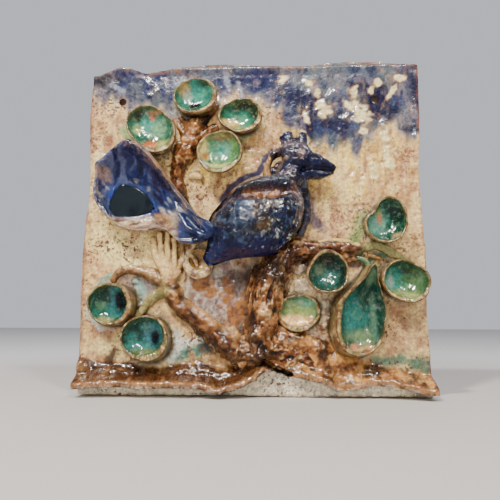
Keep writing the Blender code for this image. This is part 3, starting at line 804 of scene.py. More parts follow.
BODY_OUTLINE = (
    (44, 7), (44.5, 16), (43, 23), (40.5, 32), (35, 39), (24, 40.5), (10, 39), (-1, 36), (-12, 30.5),
    (-22, 21), (-30, 12), (-36, 4), (-39, -6), (-38.5, -18), (-40, -27), (-42, -33), (-38, -38.5),
    (-33, -39), (-23, -35.5), (-12, -33), (0, -32), (12, -31), (20, -28.5), (28, -21), (35, -14), (41, -5),
)
BODY_MIDDLE = (6, 3)


def make_body():
    profile = np.array([
        (0.0, 8), (0.80, 8), (0.82, 12), (0.88, 16), (0.96, 20), (1.0, 25), (0.995, 29), (0.96, 33.5),
        (0.90, 37.5), (0.80, 41.5), (0.66, 45), (0.50, 47.5), (0.33, 49), (0.15, 49.8), (0.0, 50),
    ])

    def shape(turn, along, share, x, rise, z):
        front = smooth_step(26, 32, rise)
        side = smooth_step(-45, 10, x)
        rise = rise - front * 7.0 * (1 - side) - front * 3.0 * smooth_step(0, 36, z)
        hollow = blob(x, z, (9, 21), (20, 6.0), 3, soft=0.55, ragged=0.10, size=8, seed=90)
        rise = rise - 8.5 * hollow * front
        flap = streak(x, z, ((-12, 27.5), (4, 33.5), (22, 36), (36, 34)), 5.0, soft=0.45, ragged=0.1, seed=91)
        rise = rise + 3.0 * flap * front
        seam = streak(
            x, z, ((33, 27), (38.5, 18), (39.5, 7), (36.5, -4), (29, -15), (18, -24)), 1.5, soft=0.6,
            ragged=0.15, seed=92,
        )
        rise = rise - 2.6 * seam * front
        belly = blob(x, z, (-4, -8), (20, 13), 30, soft=0.8, ragged=0.1, size=10, seed=93)
        rise = rise + 1.6 * belly * front
        fold = streak(x, z, ((-30, 8), (-18, 20), (-8, 25)), 1.6, soft=0.6, ragged=0.2, seed=94)
        rise = rise - 2.6 * fold * front
        valley = streak(x, z, ((5, 16), (7, 0), (3, -14)), 3.0, soft=0.8, ragged=0.3, seed=97)
        rise = rise - 1.4 * valley * front
        lumps = 1.1 * clay_noise(x, rise, z, 10, 95, 2) + 0.5 * clay_noise(x, rise, z, 3.6, 96, 2)
        creased = ridges(clay_noise(x, rise, z, 8.5, 98, 3)) ** 2 * smooth_step(
            -0.5, 0.4, clay_noise(x, rise, z, 18, 99),
        )
        return x, rise + front * (lumps - 1.3 * creased), z

    return turned("bird_body", profile, round_line(BODY_OUTLINE, BODY_MIDDLE), BODY_GRID, shape)


# The head's rolls, melted together: (across, rise, up, radius)
HEAD_ROLLS = {
    "skull": ((29, 26, 50, 10), (35, 27.5, 54, 11.5), (42, 28, 53, 11.5), (47, 27, 50, 9.5)),
    "brow": ((25, 28, 60, 5), (33, 31, 62, 5.5), (41, 31, 61, 6), (47, 29, 58, 5)),
    "upper_jaw": (
        (44, 28, 51, 10), (52, 28.5, 50.5, 8.5), (60, 28, 48.5, 6.2), (67, 26.5, 46.2, 4),
        (72, 25.5, 44.6, 2),
    ),
    "lower_jaw": (
        (44, 26, 42.5, 8), (52, 26.5, 41.5, 6.6), (60, 26, 41.2, 5), (66, 25.5, 41.6, 3.4),
        (70, 25, 42.6, 2),
    ),
    "crest_back": ((33, 27, 62, 6), (30.5, 26.5, 69, 6.6), (29, 26, 75.5, 6.4)),
    "crest_back_lobe": ((35, 25.5, 74, 4.4), (25.5, 25.5, 74, 4.8)),
    "crest_front": ((41, 28, 62, 6), (42, 27, 70, 5.4), (42.3, 26.5, 77.5, 5.0)),
    "neck": ((34, 25, 46, 10.5), (33, 27, 38, 11.5), (30, 28, 30, 12)),
    "throat": ((42, 24, 40, 7), (42, 24, 31, 6.5), (44, 23, 22, 5)),
    "neck_fold": (
        (36, 28, 40, 4.5), (43, 27, 31, 4.4), (46.5, 25, 20, 3.8), (47, 23, 8, 3.6), (44.5, 22, -3, 3.2),
        (39.5, 21, -13, 2.6),
    ),
    "nape": (
        (27, 27, 61, 4.4), (19, 26, 58.5, 3.2), (13.5, 25, 51, 2.8), (11.5, 25, 43, 3.2), (13, 27, 37, 4),
    ),
    "nape_inside": ((30, 22, 50, 6), (22, 20, 46, 5), (16, 20, 42, 4.5)),
}
MOUTH = ((42, 42), (52, 44), (62, 43.6), (70, 43.2))


def make_head():
    head = melt_together("bird_head", [roll(name, path) for name, path in HEAD_ROLLS.items()], HEAD_VOXEL)
    smooth(head, 2)
    x, rise, z = points_of(head)
    relief = clay_noise(x, rise, z, 3.0, 100, 2)
    mouth = streak(x, z, MOUTH, 1.0, soft=0.6, ragged=0.15, seed=101) * smooth_step(26, 30, rise)
    push_out(head, 0.55 * relief + 0.7 * clay_noise(x, rise, z, 7, 102) - 1.5 * mouth)
    return head


TAIL_OUTLINE = (
    (-66, 28), (-73, 38.5), (-81, 49), (-89, 59), (-97, 66), (-104, 69.5), (-111, 70.5), (-118, 66),
    (-125, 60), (-130.5, 54.5), (-136, 49), (-136, 40), (-137, 29), (-136.5, 20), (-133, 12), (-126, 3),
    (-116, -5.5), (-106, -9), (-96, -10.5), (-86, -9), (-78, -8.5), (-68, -13), (-62, -19.5), (-54, -21),
    (-46, -21), (-38, -18), (-32, -12), (-35, -3), (-43, 1), (-51, 9), (-58, 18),
)
TAIL_MIDDLE = (-104, 18)
POOL_OUTLINE = (
    (-88, 12), (-91, 20), (-98, 27), (-108, 32), (-118, 33), (-123, 25), (-126, 14), (-122, 6), (-110, 5),
    (-97, 7),
)
POOL_MIDDLE = (-107, 18)
POOL_RISE = 20.2


def make_tail():
    """A bowl of folded clay that holds the glass, and whose right side runs on into the body."""
    profile = np.array([
        (0.0, 8), (0.86, 8), (0.88, 12), (0.90, 16), (0.94, 22), (0.985, 28), (1.0, 31.5), (0.985, 34),
        (0.955, 35), (0.92, 34.5), (0.885, 32), (0.84, 28.5), (0.77, 25), (0.68, 22.6), (0.58, 21.2),
        (0.46, 20.4), (0.30, 19.8), (0.12, 19.5), (0.0, 19.5),
    ])

    def shape(turn, along, share, x, rise, z):
        rim = smooth_step(22, 34, rise)
        inside = smooth_step(0.42, 0.50, along)
        low = smooth_step(24, -14, z)
        rise = rise - 5.0 * rim * low * (1 - smooth_step(-80, -50, x))
        peak = bump_at(np.hypot(x + 111, z - 71), 0, 13) + bump_at(np.hypot(x + 136, z - 49), 0, 13)
        rise = rise + 1.5 * rim * peak
        neck = smooth_step(-84, -58, x)
        fill = neck * inside * (8.0 + 3.0 * smooth_step(-70, -40, x))
        rise = rise + fill * (1 - rim)
        ridge = streak(
            x, z, ((-104, 66), (-90, 57), (-79, 44), (-68, 29), (-57, 14), (-45, -1), (-34, -11)), 3.2,
            ragged=0.12, seed=110,
        )
        groove = streak(
            x, z, ((-84, 44), (-75, 31), (-66, 18), (-56, 4), (-46, -8)), 2.2, soft=0.6, ragged=0.15,
            seed=111,
        )
        fold = streak(
            x, z, ((-84, 26), (-74, 16), (-64, 4), (-55, -8), (-44, -14)), 2.6, soft=0.6, ragged=0.15,
            seed=112,
        )
        rise = rise + inside * (2.6 * ridge - 2.4 * groove * neck + 2.6 * fold * neck)
        lump = blob(x, z, (-74, 5), (8, 4), -35, soft=0.5, ragged=0.2, size=5, seed=113)
        rise = rise + 2.5 * lump * inside
        steep = blob(x, z, (-106, 48), (26, 16), 10, soft=0.6, ragged=0.05, size=12, seed=114)
        rise = rise - 2.5 * steep * inside * (1 - rim)
        rough = 0.5 * clay_noise(x, rise, z, 6.5, 115, 2) + 0.3 * clay_noise(x, rise, z, 2.4, 116, 2) * rim
        return x, rise + rough * smooth_step(12, 18, rise), z

    tail = turned("bird_tail", profile, round_line(TAIL_OUTLINE, TAIL_MIDDLE), TAIL_GRID, shape)
    x, rise, z = points_of(tail)
    turn, distance = turn_and_distance(x, z, POOL_MIDDLE)
    beyond = distance - reach_round(POOL_OUTLINE, POOL_MIDDLE, turn, POOL_TURNS)
    bowl = smooth_step(5.0, 0.0, beyond) * (rise > 14) * (rise < 30)
    rise = np.where(bowl > 0, rise * (1 - bowl) + np.minimum(rise, POOL_RISE + 0.8) * bowl, rise)
    sunk = smooth_step(1.0, -1.5, beyond) * (rise > 14)
    rise = rise - 3.2 * sunk
    move_to(tail, as_points(x, rise, z))
    return tail, beyond


def make_pool():
    """The glass lies level and swells a little where it meets the bowl."""
    top = POOL_RISE - 0.5
    profile = (
        (0.0, top - 2.2), (0.7, top - 2.2), (0.99, top - 2.0), (1.0, top - 0.6), (0.985, top), (0.9, top),
        (0.5, top), (0.0, top),
    )
    return turned("pool_of_glass", profile, round_line(POOL_OUTLINE, POOL_MIDDLE), POOL_GRID)


# Shader groups shared by the glazes

class Nodes:
    """Places nodes in a tree and joins them in one call."""

    def __init__(self, tree):
        self.tree = tree

    def add(self, kind, inputs=None, **settings):
        node = self.tree.nodes.new(kind)
        for name, value in settings.items():
            setattr(node, name, value)
        for key, value in (inputs or {}).items():
            self.give(node.inputs[key], value)
        return node

    def give(self, slot, value):
        """Set a socket to a value, or join it to another node's result."""
        if isinstance(value, bpy.types.NodeSocket):
            self.tree.links.new(value, slot)
        else:
            slot.default_value = value

    def noise(self, vector, scale, detail=2.0, roughness=0.55, **more):
        inputs = {"Vector": vector, "Scale": scale, "Detail": detail, "Roughness": roughness, **more}
        return self.add("ShaderNodeTexNoise", inputs).outputs["Fac"]

    def math(self, operation, *values, clamp=False):
        node = self.add("ShaderNodeMath", operation=operation, use_clamp=clamp)
        for slot, value in zip(node.inputs, values):
            self.give(slot, value)
        return node.outputs[0]

    def span(self, value, low, high, to_low=0.0, to_high=1.0):
        inputs = {"Value": value, "From Min": low, "From Max": high, "To Min": to_low, "To Max": to_high}
        return self.add("ShaderNodeMapRange", inputs, interpolation_type="SMOOTHSTEP").outputs["Result"]

    def mix(self, share, first, second, blend="MIX"):
        node = self.add("ShaderNodeMix", data_type="RGBA", blend_type=blend)
        slots = node.inputs["Factor"], node.inputs[6], node.inputs[7]
        for slot, value in zip(slots, (share, first, second)):
            self.give(slot, value)
        return node.outputs[2]


def rgba(tint):
    return (*(float(c) for c in tint), 1.0)


def new_group(name, numbers, results):
    """An empty shader group that takes the Vector and named numbers and gives named results."""
    tree = bpy.data.node_groups.new(name, "ShaderNodeTree")
    tree.interface.new_socket(name="Vector", in_out="INPUT", socket_type="NodeSocketVector")
    for key, value in numbers.items():
        made = tree.interface.new_socket(name=key, in_out="INPUT", socket_type="NodeSocketFloat")
        made.default_value = value
    for key in results:
        tree.interface.new_socket(name=key, in_out="OUTPUT", socket_type="NodeSocketFloat")
    n = Nodes(tree)
    place, out = n.add("NodeGroupInput"), n.add("NodeGroupOutput")
    return n, place.outputs, out.inputs


def speckle_group():
    """Iron specks in the clay: small sharp dots, thicker in some places, and fainter freckles."""
    n, given, out = new_group("iron specks", {"Amount": 0.5}, ("Specks", "Freckles"))
    vector, amount = given["Vector"], given["Amount"]
    cells = n.add("ShaderNodeTexVoronoi", {"Vector": vector, "Scale": 430.0, "Randomness": 1.0})
    size = n.noise(vector, 330.0, 1.0)
    patchy = n.noise(vector, 34.0, 3.0)
    limit = n.math(
        "MULTIPLY", n.math("MULTIPLY", n.span(size, 0.42, 0.72), n.span(patchy, 0.30, 0.65)), amount,
    )
    specks = n.math("LESS_THAN", cells.outputs["Distance"], n.math("MULTIPLY", limit, 0.75))
    n.tree.links.new(n.math("MULTIPLY", specks, 0.9), out["Specks"])
    freckles = n.math(
        "MULTIPLY", n.span(n.noise(vector, 380.0, 3.0, 0.7), 0.54, 0.64), n.span(patchy, 0.32, 0.62),
    )
    n.tree.links.new(freckles, out["Freckles"])
    return n.tree


def mottle_group():
    """Cloudy light and dark where a glaze ran thick and thin."""
    n, given, out = new_group("glaze mottle", {}, ("Thick", "Thin", "Fine"))
    vector = given["Vector"]
    run = n.add("ShaderNodeMapping", {"Vector": vector, "Scale": (1.0, 1.0, 0.45)}).outputs["Vector"]
    large = n.noise(run, 95.0, 5.0, 0.62, Distortion=0.6)
    n.tree.links.new(n.span(large, 0.50, 0.72), out["Thick"])
    n.tree.links.new(n.span(large, 0.46, 0.28), out["Thin"])
    n.tree.links.new(n.noise(vector, 420.0, 4.0, 0.65), out["Fine"])
    return n.tree


def skin_group():
    """The height of a fired glaze: slow ripples and orange peel."""
    n, given, out = new_group("glaze skin", {"Ripple": 1.0, "Peel": 1.0}, ("Height",))
    vector = given["Vector"]
    ripple = n.math("MULTIPLY", n.noise(vector, 170.0, 2.0, 0.5), given["Ripple"])
    peel = n.math("MULTIPLY", n.noise(vector, 620.0, 3.0, 0.6), given["Peel"])
    n.tree.links.new(n.math("ADD", ripple, n.math("MULTIPLY", peel, 0.35)), out["Height"])
    return n.tree


GROUPS = {}


def place_group(n, name, inputs):
    return n.add("ShaderNodeGroup", inputs, node_tree=GROUPS[name])


def new_material(name):
    """A new material, its nodes, the piece's own coordinates, and what sets its shader's sockets."""
    material = bpy.data.materials.new(name)
    material.use_nodes = True
    n = Nodes(material.node_tree)
    vector = n.add("ShaderNodeTexCoord").outputs["Object"]

    def finish(sockets):
        for key, value in sockets.items():
            n.give(n.tree.nodes["Principled BSDF"].inputs[key], value)

    return material, n, vector, finish


# Glazes. Each reads the coat of colour painted on the piece's points. Specks, mottle, lights and
# freckles are shares; dark, light and freckle their colours; depth is the skin's relief in metres

GLAZES = {
    "slab_glaze": dict(
        specks=1.3, dark=colour(92, 48, 40), mottle=0.45, lights=0.15, ripple=0.9, peel=0.5, depth=0.0006,
        freckles=0.85, freckle=colour(124, 72, 62), gloss=0.18),
    "bark_glaze": dict(
        specks=0.6, mottle=0.7, ripple=1.5, depth=0.0009, gloss=0.12, light=SAND, lights=0.30),
    "leaf_glaze": dict(
        specks=0.9, dark=colour(84, 48, 34), mottle=0.45, ripple=0.5, peel=0.5, depth=0.0003, gloss=0.08,
        light=TURQUOISE, lights=0.15, freckles=0.7, freckle=RUST),
    "bird_glaze": dict(
        specks=0.4, mottle=0.7, ripple=1.8, peel=1.2, depth=0.0012, gloss=0.10, light=SKY_GREY, lights=0.20),
    "tail_glaze": dict(
        specks=0.9, dark=colour(70, 40, 40), mottle=0.6, ripple=1.2, depth=0.0007, gloss=0.11, light=SKY_BLUE,
        lights=0.15),
}


def glaze(name):
    return fired(name, **GLAZES[name])


def fired(
    name, specks, mottle, ripple, depth, gloss, lights, dark=SOOT_AND_SHADE, light=CREAM, peel=1.0, freckle=PINK_BUFF,
    freckles=0.35,
):
    """A fired glaze over the piece's coat: mottled, freckled, specked and rippled."""
    material, n, vector, finish = new_material(name)
    coat = n.add("ShaderNodeAttribute", attribute_name="coat").outputs["Color"]
    clay = n.add("ShaderNodeAttribute", attribute_name="clay").outputs["Fac"]
    spots = place_group(n, "specks", {"Vector": vector, "Amount": specks})
    cloud = place_group(n, "mottle", {"Vector": vector})
    skin = place_group(n, "skin", {"Vector": vector, "Ripple": ripple, "Peel": peel})
    deeper = n.mix(
        n.math("MULTIPLY", cloud.outputs["Thick"], mottle), coat, rgba((0.35, 0.32, 0.30)), "MULTIPLY",
    )
    lighter = n.mix(n.math("MULTIPLY", cloud.outputs["Thin"], lights), deeper, rgba(light))
    on_clay = n.math("MULTIPLY", spots.outputs["Freckles"], n.math("MULTIPLY", clay, freckles))
    freckled = n.mix(on_clay, lighter, rgba(freckle))
    dotted = n.mix(n.math("MULTIPLY", spots.outputs["Specks"], clay), freckled, rgba(dark))
    fine = n.span(cloud.outputs["Fine"], 0.25, 0.75, 0.64, 1.30)
    toned = n.add("ShaderNodeHueSaturation", {"Value": fine, "Color": dotted}).outputs["Color"]
    rough = n.math(
        "ADD", n.math("MULTIPLY", clay, 0.25), n.span(cloud.outputs["Fine"], 0.3, 0.8, gloss, gloss + 0.12),
    )
    bump = n.add("ShaderNodeBump", {"Strength": 1.0, "Distance": depth, "Height": skin.outputs["Height"]})
    finish({
        "Base Color": toned,
        "Roughness": rough,
        "Coat Weight": n.math("SUBTRACT", 0.9, n.math("MULTIPLY", clay, 0.6)),
        "Coat Roughness": 0.06,
        "Normal": bump.outputs["Normal"],
    })
    return material


def pool_glass():
    """Bottle-dark glass as smooth as a mirror."""
    material, n, vector, finish = new_material("pool_glass")
    cloud = place_group(n, "mottle", {"Vector": vector})
    tint = n.mix(cloud.outputs["Thick"], rgba(colour(26, 36, 42)), rgba(colour(14, 21, 28)))
    finish({
        "Base Color": tint,
        "Roughness": n.span(cloud.outputs["Fine"], 0.3, 0.8, 0.03, 0.07),
        "IOR": 1.55,
        "Coat Weight": 1.0,
        "Coat Roughness": 0.01,
    })
    return material


# Painting each piece

# The lower edge of the slab's blue sky: (across, up)
SKY_EDGE = (
    (-152, 124), (-133, 122), (-119, 119), (-105, 112), (-90, 108), (-80, 103), (-69, 98), (-60, 92),
    (-50, 118), (-35, 121), (-22, 123), (-3, 123), (8, 119), (15, 116), (26, 110), (33, 97), (39, 88),
    (51, 81), (65, 74), (78, 74), (93, 71), (107, 86), (117, 94), (128, 98), (132, 86), (142, 80),
    (152, 82),
)


# Patches of one colour on the slab: places as centre, reach and turn
DARK_BLUE_PATCHES = (
    ((10, 134), (20, 8), -12), ((22, 121), (14, 6), -35), ((48, 108), (17, 12), -30),
    ((112, 116), (10, 16), 0), ((50, 84), (5, 8), 0), ((-88, 128), (7, 5), -20), ((-104, 139), (22, 4), -6),
    ((-82, 131), (9, 9), 30), ((-98, 124), (5, 9), 30), ((4, 134), (16, 9), -20), ((24, 128), (12, 7), -30),
    ((36, 116), (11, 10), -30), ((56, 114), (9, 7), 0), ((80, 94), (5, 16), 0), ((110, 112), (9, 17), 10),
    ((122, 100), (12, 6), 35), ((147, 122), (5, 18), 0), ((140, 86), (11, 5), 10), ((48, 92), (7, 9), 0),
    ((94, 128), (8, 4), 0), ((-18, 136), (7, 5), 0), ((31, 98), (5, 10), 20), ((68, 92), (10, 5), -10),
)
BLUE_PATCHES = (
    ((-86, 133), (12, 10), -30), ((-30, 128), (8, 11), 10), ((-4, 128), (9, 10), 0), ((18, 120), (9, 8), 0),
    ((76, 88), (18, 7), 0), ((98, 126), (7, 6), 0), ((-122, 132), (10, 5), -20), ((128, 112), (9, 9), 0),
    ((60, 88), (12, 6), -20), ((-74, 118), (8, 7), 0),
)
GOLD_PATCHES = (
    ((59, 122), (3.4, 5), 30), ((62, 110), (5, 4), 0), ((67, 103), (6.4, 6.4), 10),
    ((92, 121), (3.6, 5), 0), ((86, 110), (4.5, 7), 20), ((98, 101), (8.5, 9.5), -30),
    ((91, 112), (4, 5), 0), ((108, 124), (2.6, 4), 0), ((126, 122), (2.4, 9), -30),
    ((114, 131), (3, 3.4), 0), ((48, 98), (2.6, 7.5), 20), ((97, 84), (6, 4), 20), ((50, 131), (4, 3), 0),
    ((-58, 130), (5, 3), 20), ((27, 134), (5, 3), 0), ((46, 78), (3, 8), 20), ((132, 134), (5, 3), 0),
)
CREAM_RUNS = (
    ((-52, 30), (12, 8), 0), ((52, 73), (12, 8), -30), ((78, 62), (10, 9), 0), ((107, 46), (4.5, 11), 12),
    ((119, 76), (4, 14), 0), ((121, 54), (4.0, 10), 10), ((91, 54), (4, 8), 0), ((36, 76), (6, 12), 35),
    ((-119, 60), (8, 14), 0), ((-128, -2), (9, 8), 0), ((-122, -24), (12, 9), 0), ((66, 18), (8, 12), 0),
    ((88, 30), (7, 12), 0), ((-40, 48), (14, 9), 0), ((-20, 60), (14, 10), 20), ((-90, -20), (6, 14), 0),
)
RUSTY_PATCHES = (
    ((-112, -8), (9, 5), 20), ((-104, -20), (7, 12), -20), ((-47.8, 35.2), (8, 8), 0),
    ((-134, 70), (6, 10), 0), ((-138, 30), (5, 20), 0), ((62, 8), (12, 14), 0), ((104, 70), (16, 10), 0),
    ((136, 50), (8, 30), 0), ((128, -80), (14, 22), 0), ((70, -96), (16, 12), 0), ((52, -80), (14, 10), 0),
    ((132, -104), (18, 6), 0), ((10, 84), (12, 20), 30), ((-130, -96), (8, 10), 0), ((-118, 96), (9, 5), 0),
    ((22, 92), (9, 12), 0), ((-30, -8), (5, 5), 0), ((84, 0), (10, 14), 0),
)
OCHRE_PATCHES = (
    ((-46, -54), (10, 7), 10), ((-22, -52), (6, 7), 0), ((-22, -66), (7, 11), 0), ((-17, -82), (9, 8), 20),
    ((-8, -72), (6, 11), 0), ((-4, -56), (5, 10), 0), ((-36, -62), (6, 4), 30),
)
# Runs and drips: their path and half width, and for runs the number of their tint
TEAL_RUNS = (
    (((-64, -117), (-56, -112), (-44, -108)), 5.0, 2), (((-60, -116), (-52, -112), (-44, -110)), 4.6, 0),
    (((-44, -105), (-38, -110), (-33, -117)), 4.6, 1), (((104, -117), (113, -120), (124, -118)), 4.4, 0),
    (((134, -119), (142, -122), (149, -130)), 7.0, 0), (((-118, 86), (-112, 78), (-106, 70)), 4.5, 3),
    (((98, 6), (94, -6), (90, -14)), 6.0, 3), (((-101, -52), (-97, -62), (-95, -72)), 3.5, 2),
    (((-66, -96), (-65, -108), (-72, -118)), 3.5, 4), (((-40, 80), (-34, 82), (-28, 80)), 3.5, 0),
    (((-10, 78), (-6, 84), (-2, 88)), 3.0, 3), (((-118, -44), (-128, -49), (-137, -56)), 3.0, 2),
    (((-143, -66), (-142, -82), (-132, -92)), 2.6, 4), (((-112, -96), (-104, -108), (-94, -118)), 2.6, 2),
    (((100, -34), (106, -28), (118, -28)), 3.0, 0), (((-60, -104), (-50, -103), (-44, -100)), 3.0, 4),
)
WHITE_DRIPS = (
    (((-40, -34), (-36, -44), (-42, -56), (-50, -66)), 2.0),
    (((-34, -40), (-31, -52), (-38, -60), (-44, -76)), 1.6), (((-54, -46), (-57, -60), (-61, -70)), 1.8),
    (((-12, -76), (-13, -84), (-8, -92)), 2.0), (((-28, -42), (-27, -56), (-29, -70), (-26, -80)), 1.5),
    (((-15, -40), (-15, -54), (-17, -66)), 1.3), (((-36, -74), (-32, -84), (-26, -92)), 1.6),
)


def coat_slab(slab):
    """Cream clay under a blue sky, with runs, drips and rust, brown earth and a pale torn lip."""
    x, rise, z = points_of(slab)
    flat = 0 * x
    cloud, spot, trail = masks_on(x, flat, z)

    def patches(places, tint, strength, seed, soft=0.45, ragged=0.4, size=6):
        return [
            (strength * spot(centre, reach, turn, soft, ragged, size, seed + step), tint)
            for step, (centre, reach, turn) in enumerate(places)
        ]

    warp = 3.0 * clay_noise(x, flat, z, 9, 200, 2)
    coat = np.tile(CREAM * 0.85 + BUFF * 0.15, (len(x), 1))
    coat = paint(
        coat,
        (0.8 * cloud(15, 201, -0.1, 0.6, 0.5), BUFF),
        (0.55 * cloud(9, 202, 0.1, 0.8, 0.45), PINK_BUFF),
        *patches(RUSTY_PATCHES, PINK_BUFF * 0.85 + BUFF * 0.15, 0.55, 240, 0.7, 0.5, 9),
        *patches(CREAM_RUNS, GOLD_CREAM, 0.75, 260, 0.5, 0.4, 5),
        (0.55 * cloud(5, 204, 0.2, 0.75, 0.3, 2), CREAM),
    )
    # Over the lower slab, a darker greenish lilac: partly glaze, partly painted shade where the light falls
    # off towards the bottom.
    low = smooth_step(-20, -100, z) * smooth_step(-112, -95, x)
    coat = paint(
        coat,
        (0.45 * low * cloud(26, 226, -0.6, 0.5, 0.6), CREAM * 0.3 + PALE_GREEN * 0.15 + LILAC * 0.4),
    )
    spots = cloud(2.6, 229, 0.42, 0.62, 1.0, 2) * cloud(20, 230, -0.35, 0.35, 0.8)
    coat = paint(coat, (0.75 * spots, RUST * 0.6 + PINK_BUFF * 0.4))
    cracks = ridges(clay_noise(x, flat, z, 9, 231, 3))
    seams = smooth_step(0.86, 0.97, cracks) * cloud(24, 232, -0.1, 0.4, 1.0)
    coat = paint(coat, (0.6 * seams, RUST * 0.7 + LILAC * 0.3))

    pale_places = (
        ((-120, -16), (26, 14), 0), ((-112, -34), (16, 8), 0), ((-124, -108), (14, 8), 0),
        ((-136, 40), (8, 30), 0),
    )
    coat = paint(coat, *patches(pale_places, colour(255, 234, 158), 0.9, 390, 0.7, 0.5, 9))
    fall = spot((78, 62), (56, 34), -12, 0.7, 0.3, 14, 397) + spot((-40, 66), (30, 24), 0, 0.8, 0.3, 12, 398)
    coat = paint(coat, (0.85 * np.clip(fall, 0, 1) * cloud(6, 399, -0.8, 0.2, 0.25, 2), colour(255, 216, 98)))
    combed = clay_noise(x, flat, z * 0.12, 3.4, 406, 2)
    upper = smooth_step(-30, 10, z)
    coat = paint(
        coat,
        (0.45 * upper * smooth_step(0.1, 0.5, combed), PINK_BUFF * 0.7 + BUFF * 0.3),
        (0.45 * upper * smooth_step(-0.1, -0.5, combed), CREAM * 0.8 + MILK * 0.2),
    )
    bright_runs = (
        ((119, 76), (3.4, 13), 0), ((122, 54), (3.4, 9), 12), ((107, 47), (4.4, 10), 8),
        ((-119, 62), (3, 6), 0),
    )
    run_halos = [(centre, (reach[0] + 1.6, reach[1] + 2), turn) for centre, reach, turn in bright_runs]
    coat = paint(
        coat,
        *patches(run_halos, HONEY * 0.5 + BUFF * 0.5, 0.6, 402, 0.4, 0.7, 5),
        *patches(bright_runs, colour(255, 236, 168), 0.97, 402, 0.25, 0.7, 5),
    )
    # Painted shade in the worked clay's dips (darker pink-brown) and painted light on its crests (paler
    # cream).
    quick = worked_clay(x, z)[1]
    coat = paint(
        coat,
        (0.6 * smooth_step(0.0, -0.45, quick), PINK_BUFF * 0.7 + RUST * 0.3),
        (0.4 * smooth_step(0.1, 0.45, quick), CREAM),
    )

    edge = through(SKY_EDGE, x)
    runs = 9.0 * np.maximum(clay_noise(x, flat, z * 0.10, 7, 205, 2), -0.4)
    sky = smooth_step(-7, 5, z - edge + runs + warp)
    faint = smooth_step(-15, 4, z - edge + runs + warp)
    coat = paint(
        coat,
        (0.45 * faint, SKY_GREY * 0.7 + OLIVE * 0.1 + MILK * 0.12),
        (0.90 * sky, SKY_GREY * 0.95 + PALE_GREEN * 0.08),
        (0.6 * sky * cloud(16, 233, -0.1, 0.5, 0.7, 2), SKY_GREY * 0.9 + SAND * 0.08 + OLIVE * 0.2),
        (0.5 * sky * cloud(11, 234, 0.1, 0.6, 0.6, 2), BUFF * 0.25 + SKY_GREY * 0.5 + MILK * 0.08),
        (
            0.5 * sky * smooth_step(70, 110, x) * cloud(10, 256, -0.2, 0.4, 0.7, 2),
            SAND * 0.35 + SKY_GREY * 0.4,
        ),
        (0.35 * sky * smooth_step(-50, -90, x), NAVY * 0.6 + SKY_GREY * 0.2),
        *patches(BLUE_PATCHES, COBALT * 0.5 + SKY_GREY * 0.4, 0.85, 280, 0.6, 0.4, 8),
        (0.5 * sky * cloud(15, 206, 0.0, 0.5, 0.7, 2), COBALT * 0.6 + SKY_GREY * 0.4),
    )
    left_blues = [patch for patch in DARK_BLUE_PATCHES if patch[0][0] < 45]
    right_blues = [patch for patch in DARK_BLUE_PATCHES if patch[0][0] >= 45]
    coat = paint(
        coat,
        *patches(left_blues, COBALT * 0.55 + NAVY * 0.25 + SKY_GREY * 0.12, 0.95, 300, 0.55, 0.4, 8),
        *patches(right_blues, NAVY * 0.7 + COBALT * 0.25, 0.95, 310, 0.55, 0.4, 8),
        (0.6 * sky * cloud(7, 207, 0.15, 0.45, 0.6, 3), NAVY * 0.7 + COBALT * 0.3),
        (0.45 * sky * cloud(7, 235, 0.30, 0.65, 0.6, 2), SKY_BLUE * 0.3 + SKY_GREY * 0.3 + BUFF * 0.3),
        (
            0.6 * sky * smooth_step(0.15, 0.5, quick) * cloud(20, 259, -0.2, 0.4),
            SKY_GREY * 0.6 + SKY_BLUE * 0.25 + MILK * 0.1,
        ),
    )
    # The pale patch at the upper left, near (-125, 127), is partly painted highlight.
    pale_blue = (
        ((-125, 127), (10, 2.4), -32), ((-24, 132), (2.4, 9), 12), ((-12, 124), (2, 8), 14),
        ((-66, 132), (7, 2), 20),
    )
    coat = paint(
        coat,
        *patches(pale_blue, SKY_BLUE * 0.5 + MILK * 0.35, 0.8, 395, 0.5, 0.6, 5),
        *patches(GOLD_PATCHES, HONEY * 0.3 + BUFF * 0.5, 0.8, 330, 0.45, 0.8, 5.5),
    )
    cores = [(centre, (reach[0] * 0.85, reach[1] * 0.85), turn) for centre, reach, turn in GOLD_PATCHES]
    coat = paint(coat, *patches(cores, colour(255, 238, 180), 0.97, 330, 0.25, 0.8, 5.5))
    along_top = HEIGHT / 2 + curve(TOP_STEPS, x / WIDTH + 0.5)
    torn = smooth_step(4.6, 1.0, along_top - z + 0.8 * warp)
    coat = paint(
        coat,
        (0.7 * torn * cloud(6, 210, -0.6, 0.2, 1.0, 2), RUST * 0.35 + BUFF * 0.3 + LILAC * 0.35),
    )

    wing_line = ((-28, 22), (-19, 34), (-10, 40.5), (-3, 43), (5, 46), (8, 53), (11, 60), (17, 65.5))
    coat = paint(
        coat,
        (0.95 * trail(wing_line, 2.8, 0.4, 0.3, 4, 212), COBALT * 0.7 + NAVY * 0.3),
        (
            0.75 * trail(((46, 24), (50, 12), (55, 2), (60, -6)), 4.5, 0.7, 0.6, 5, 213),
            COBALT * 0.7 + SKY_GREY * 0.3,
        ),
    )

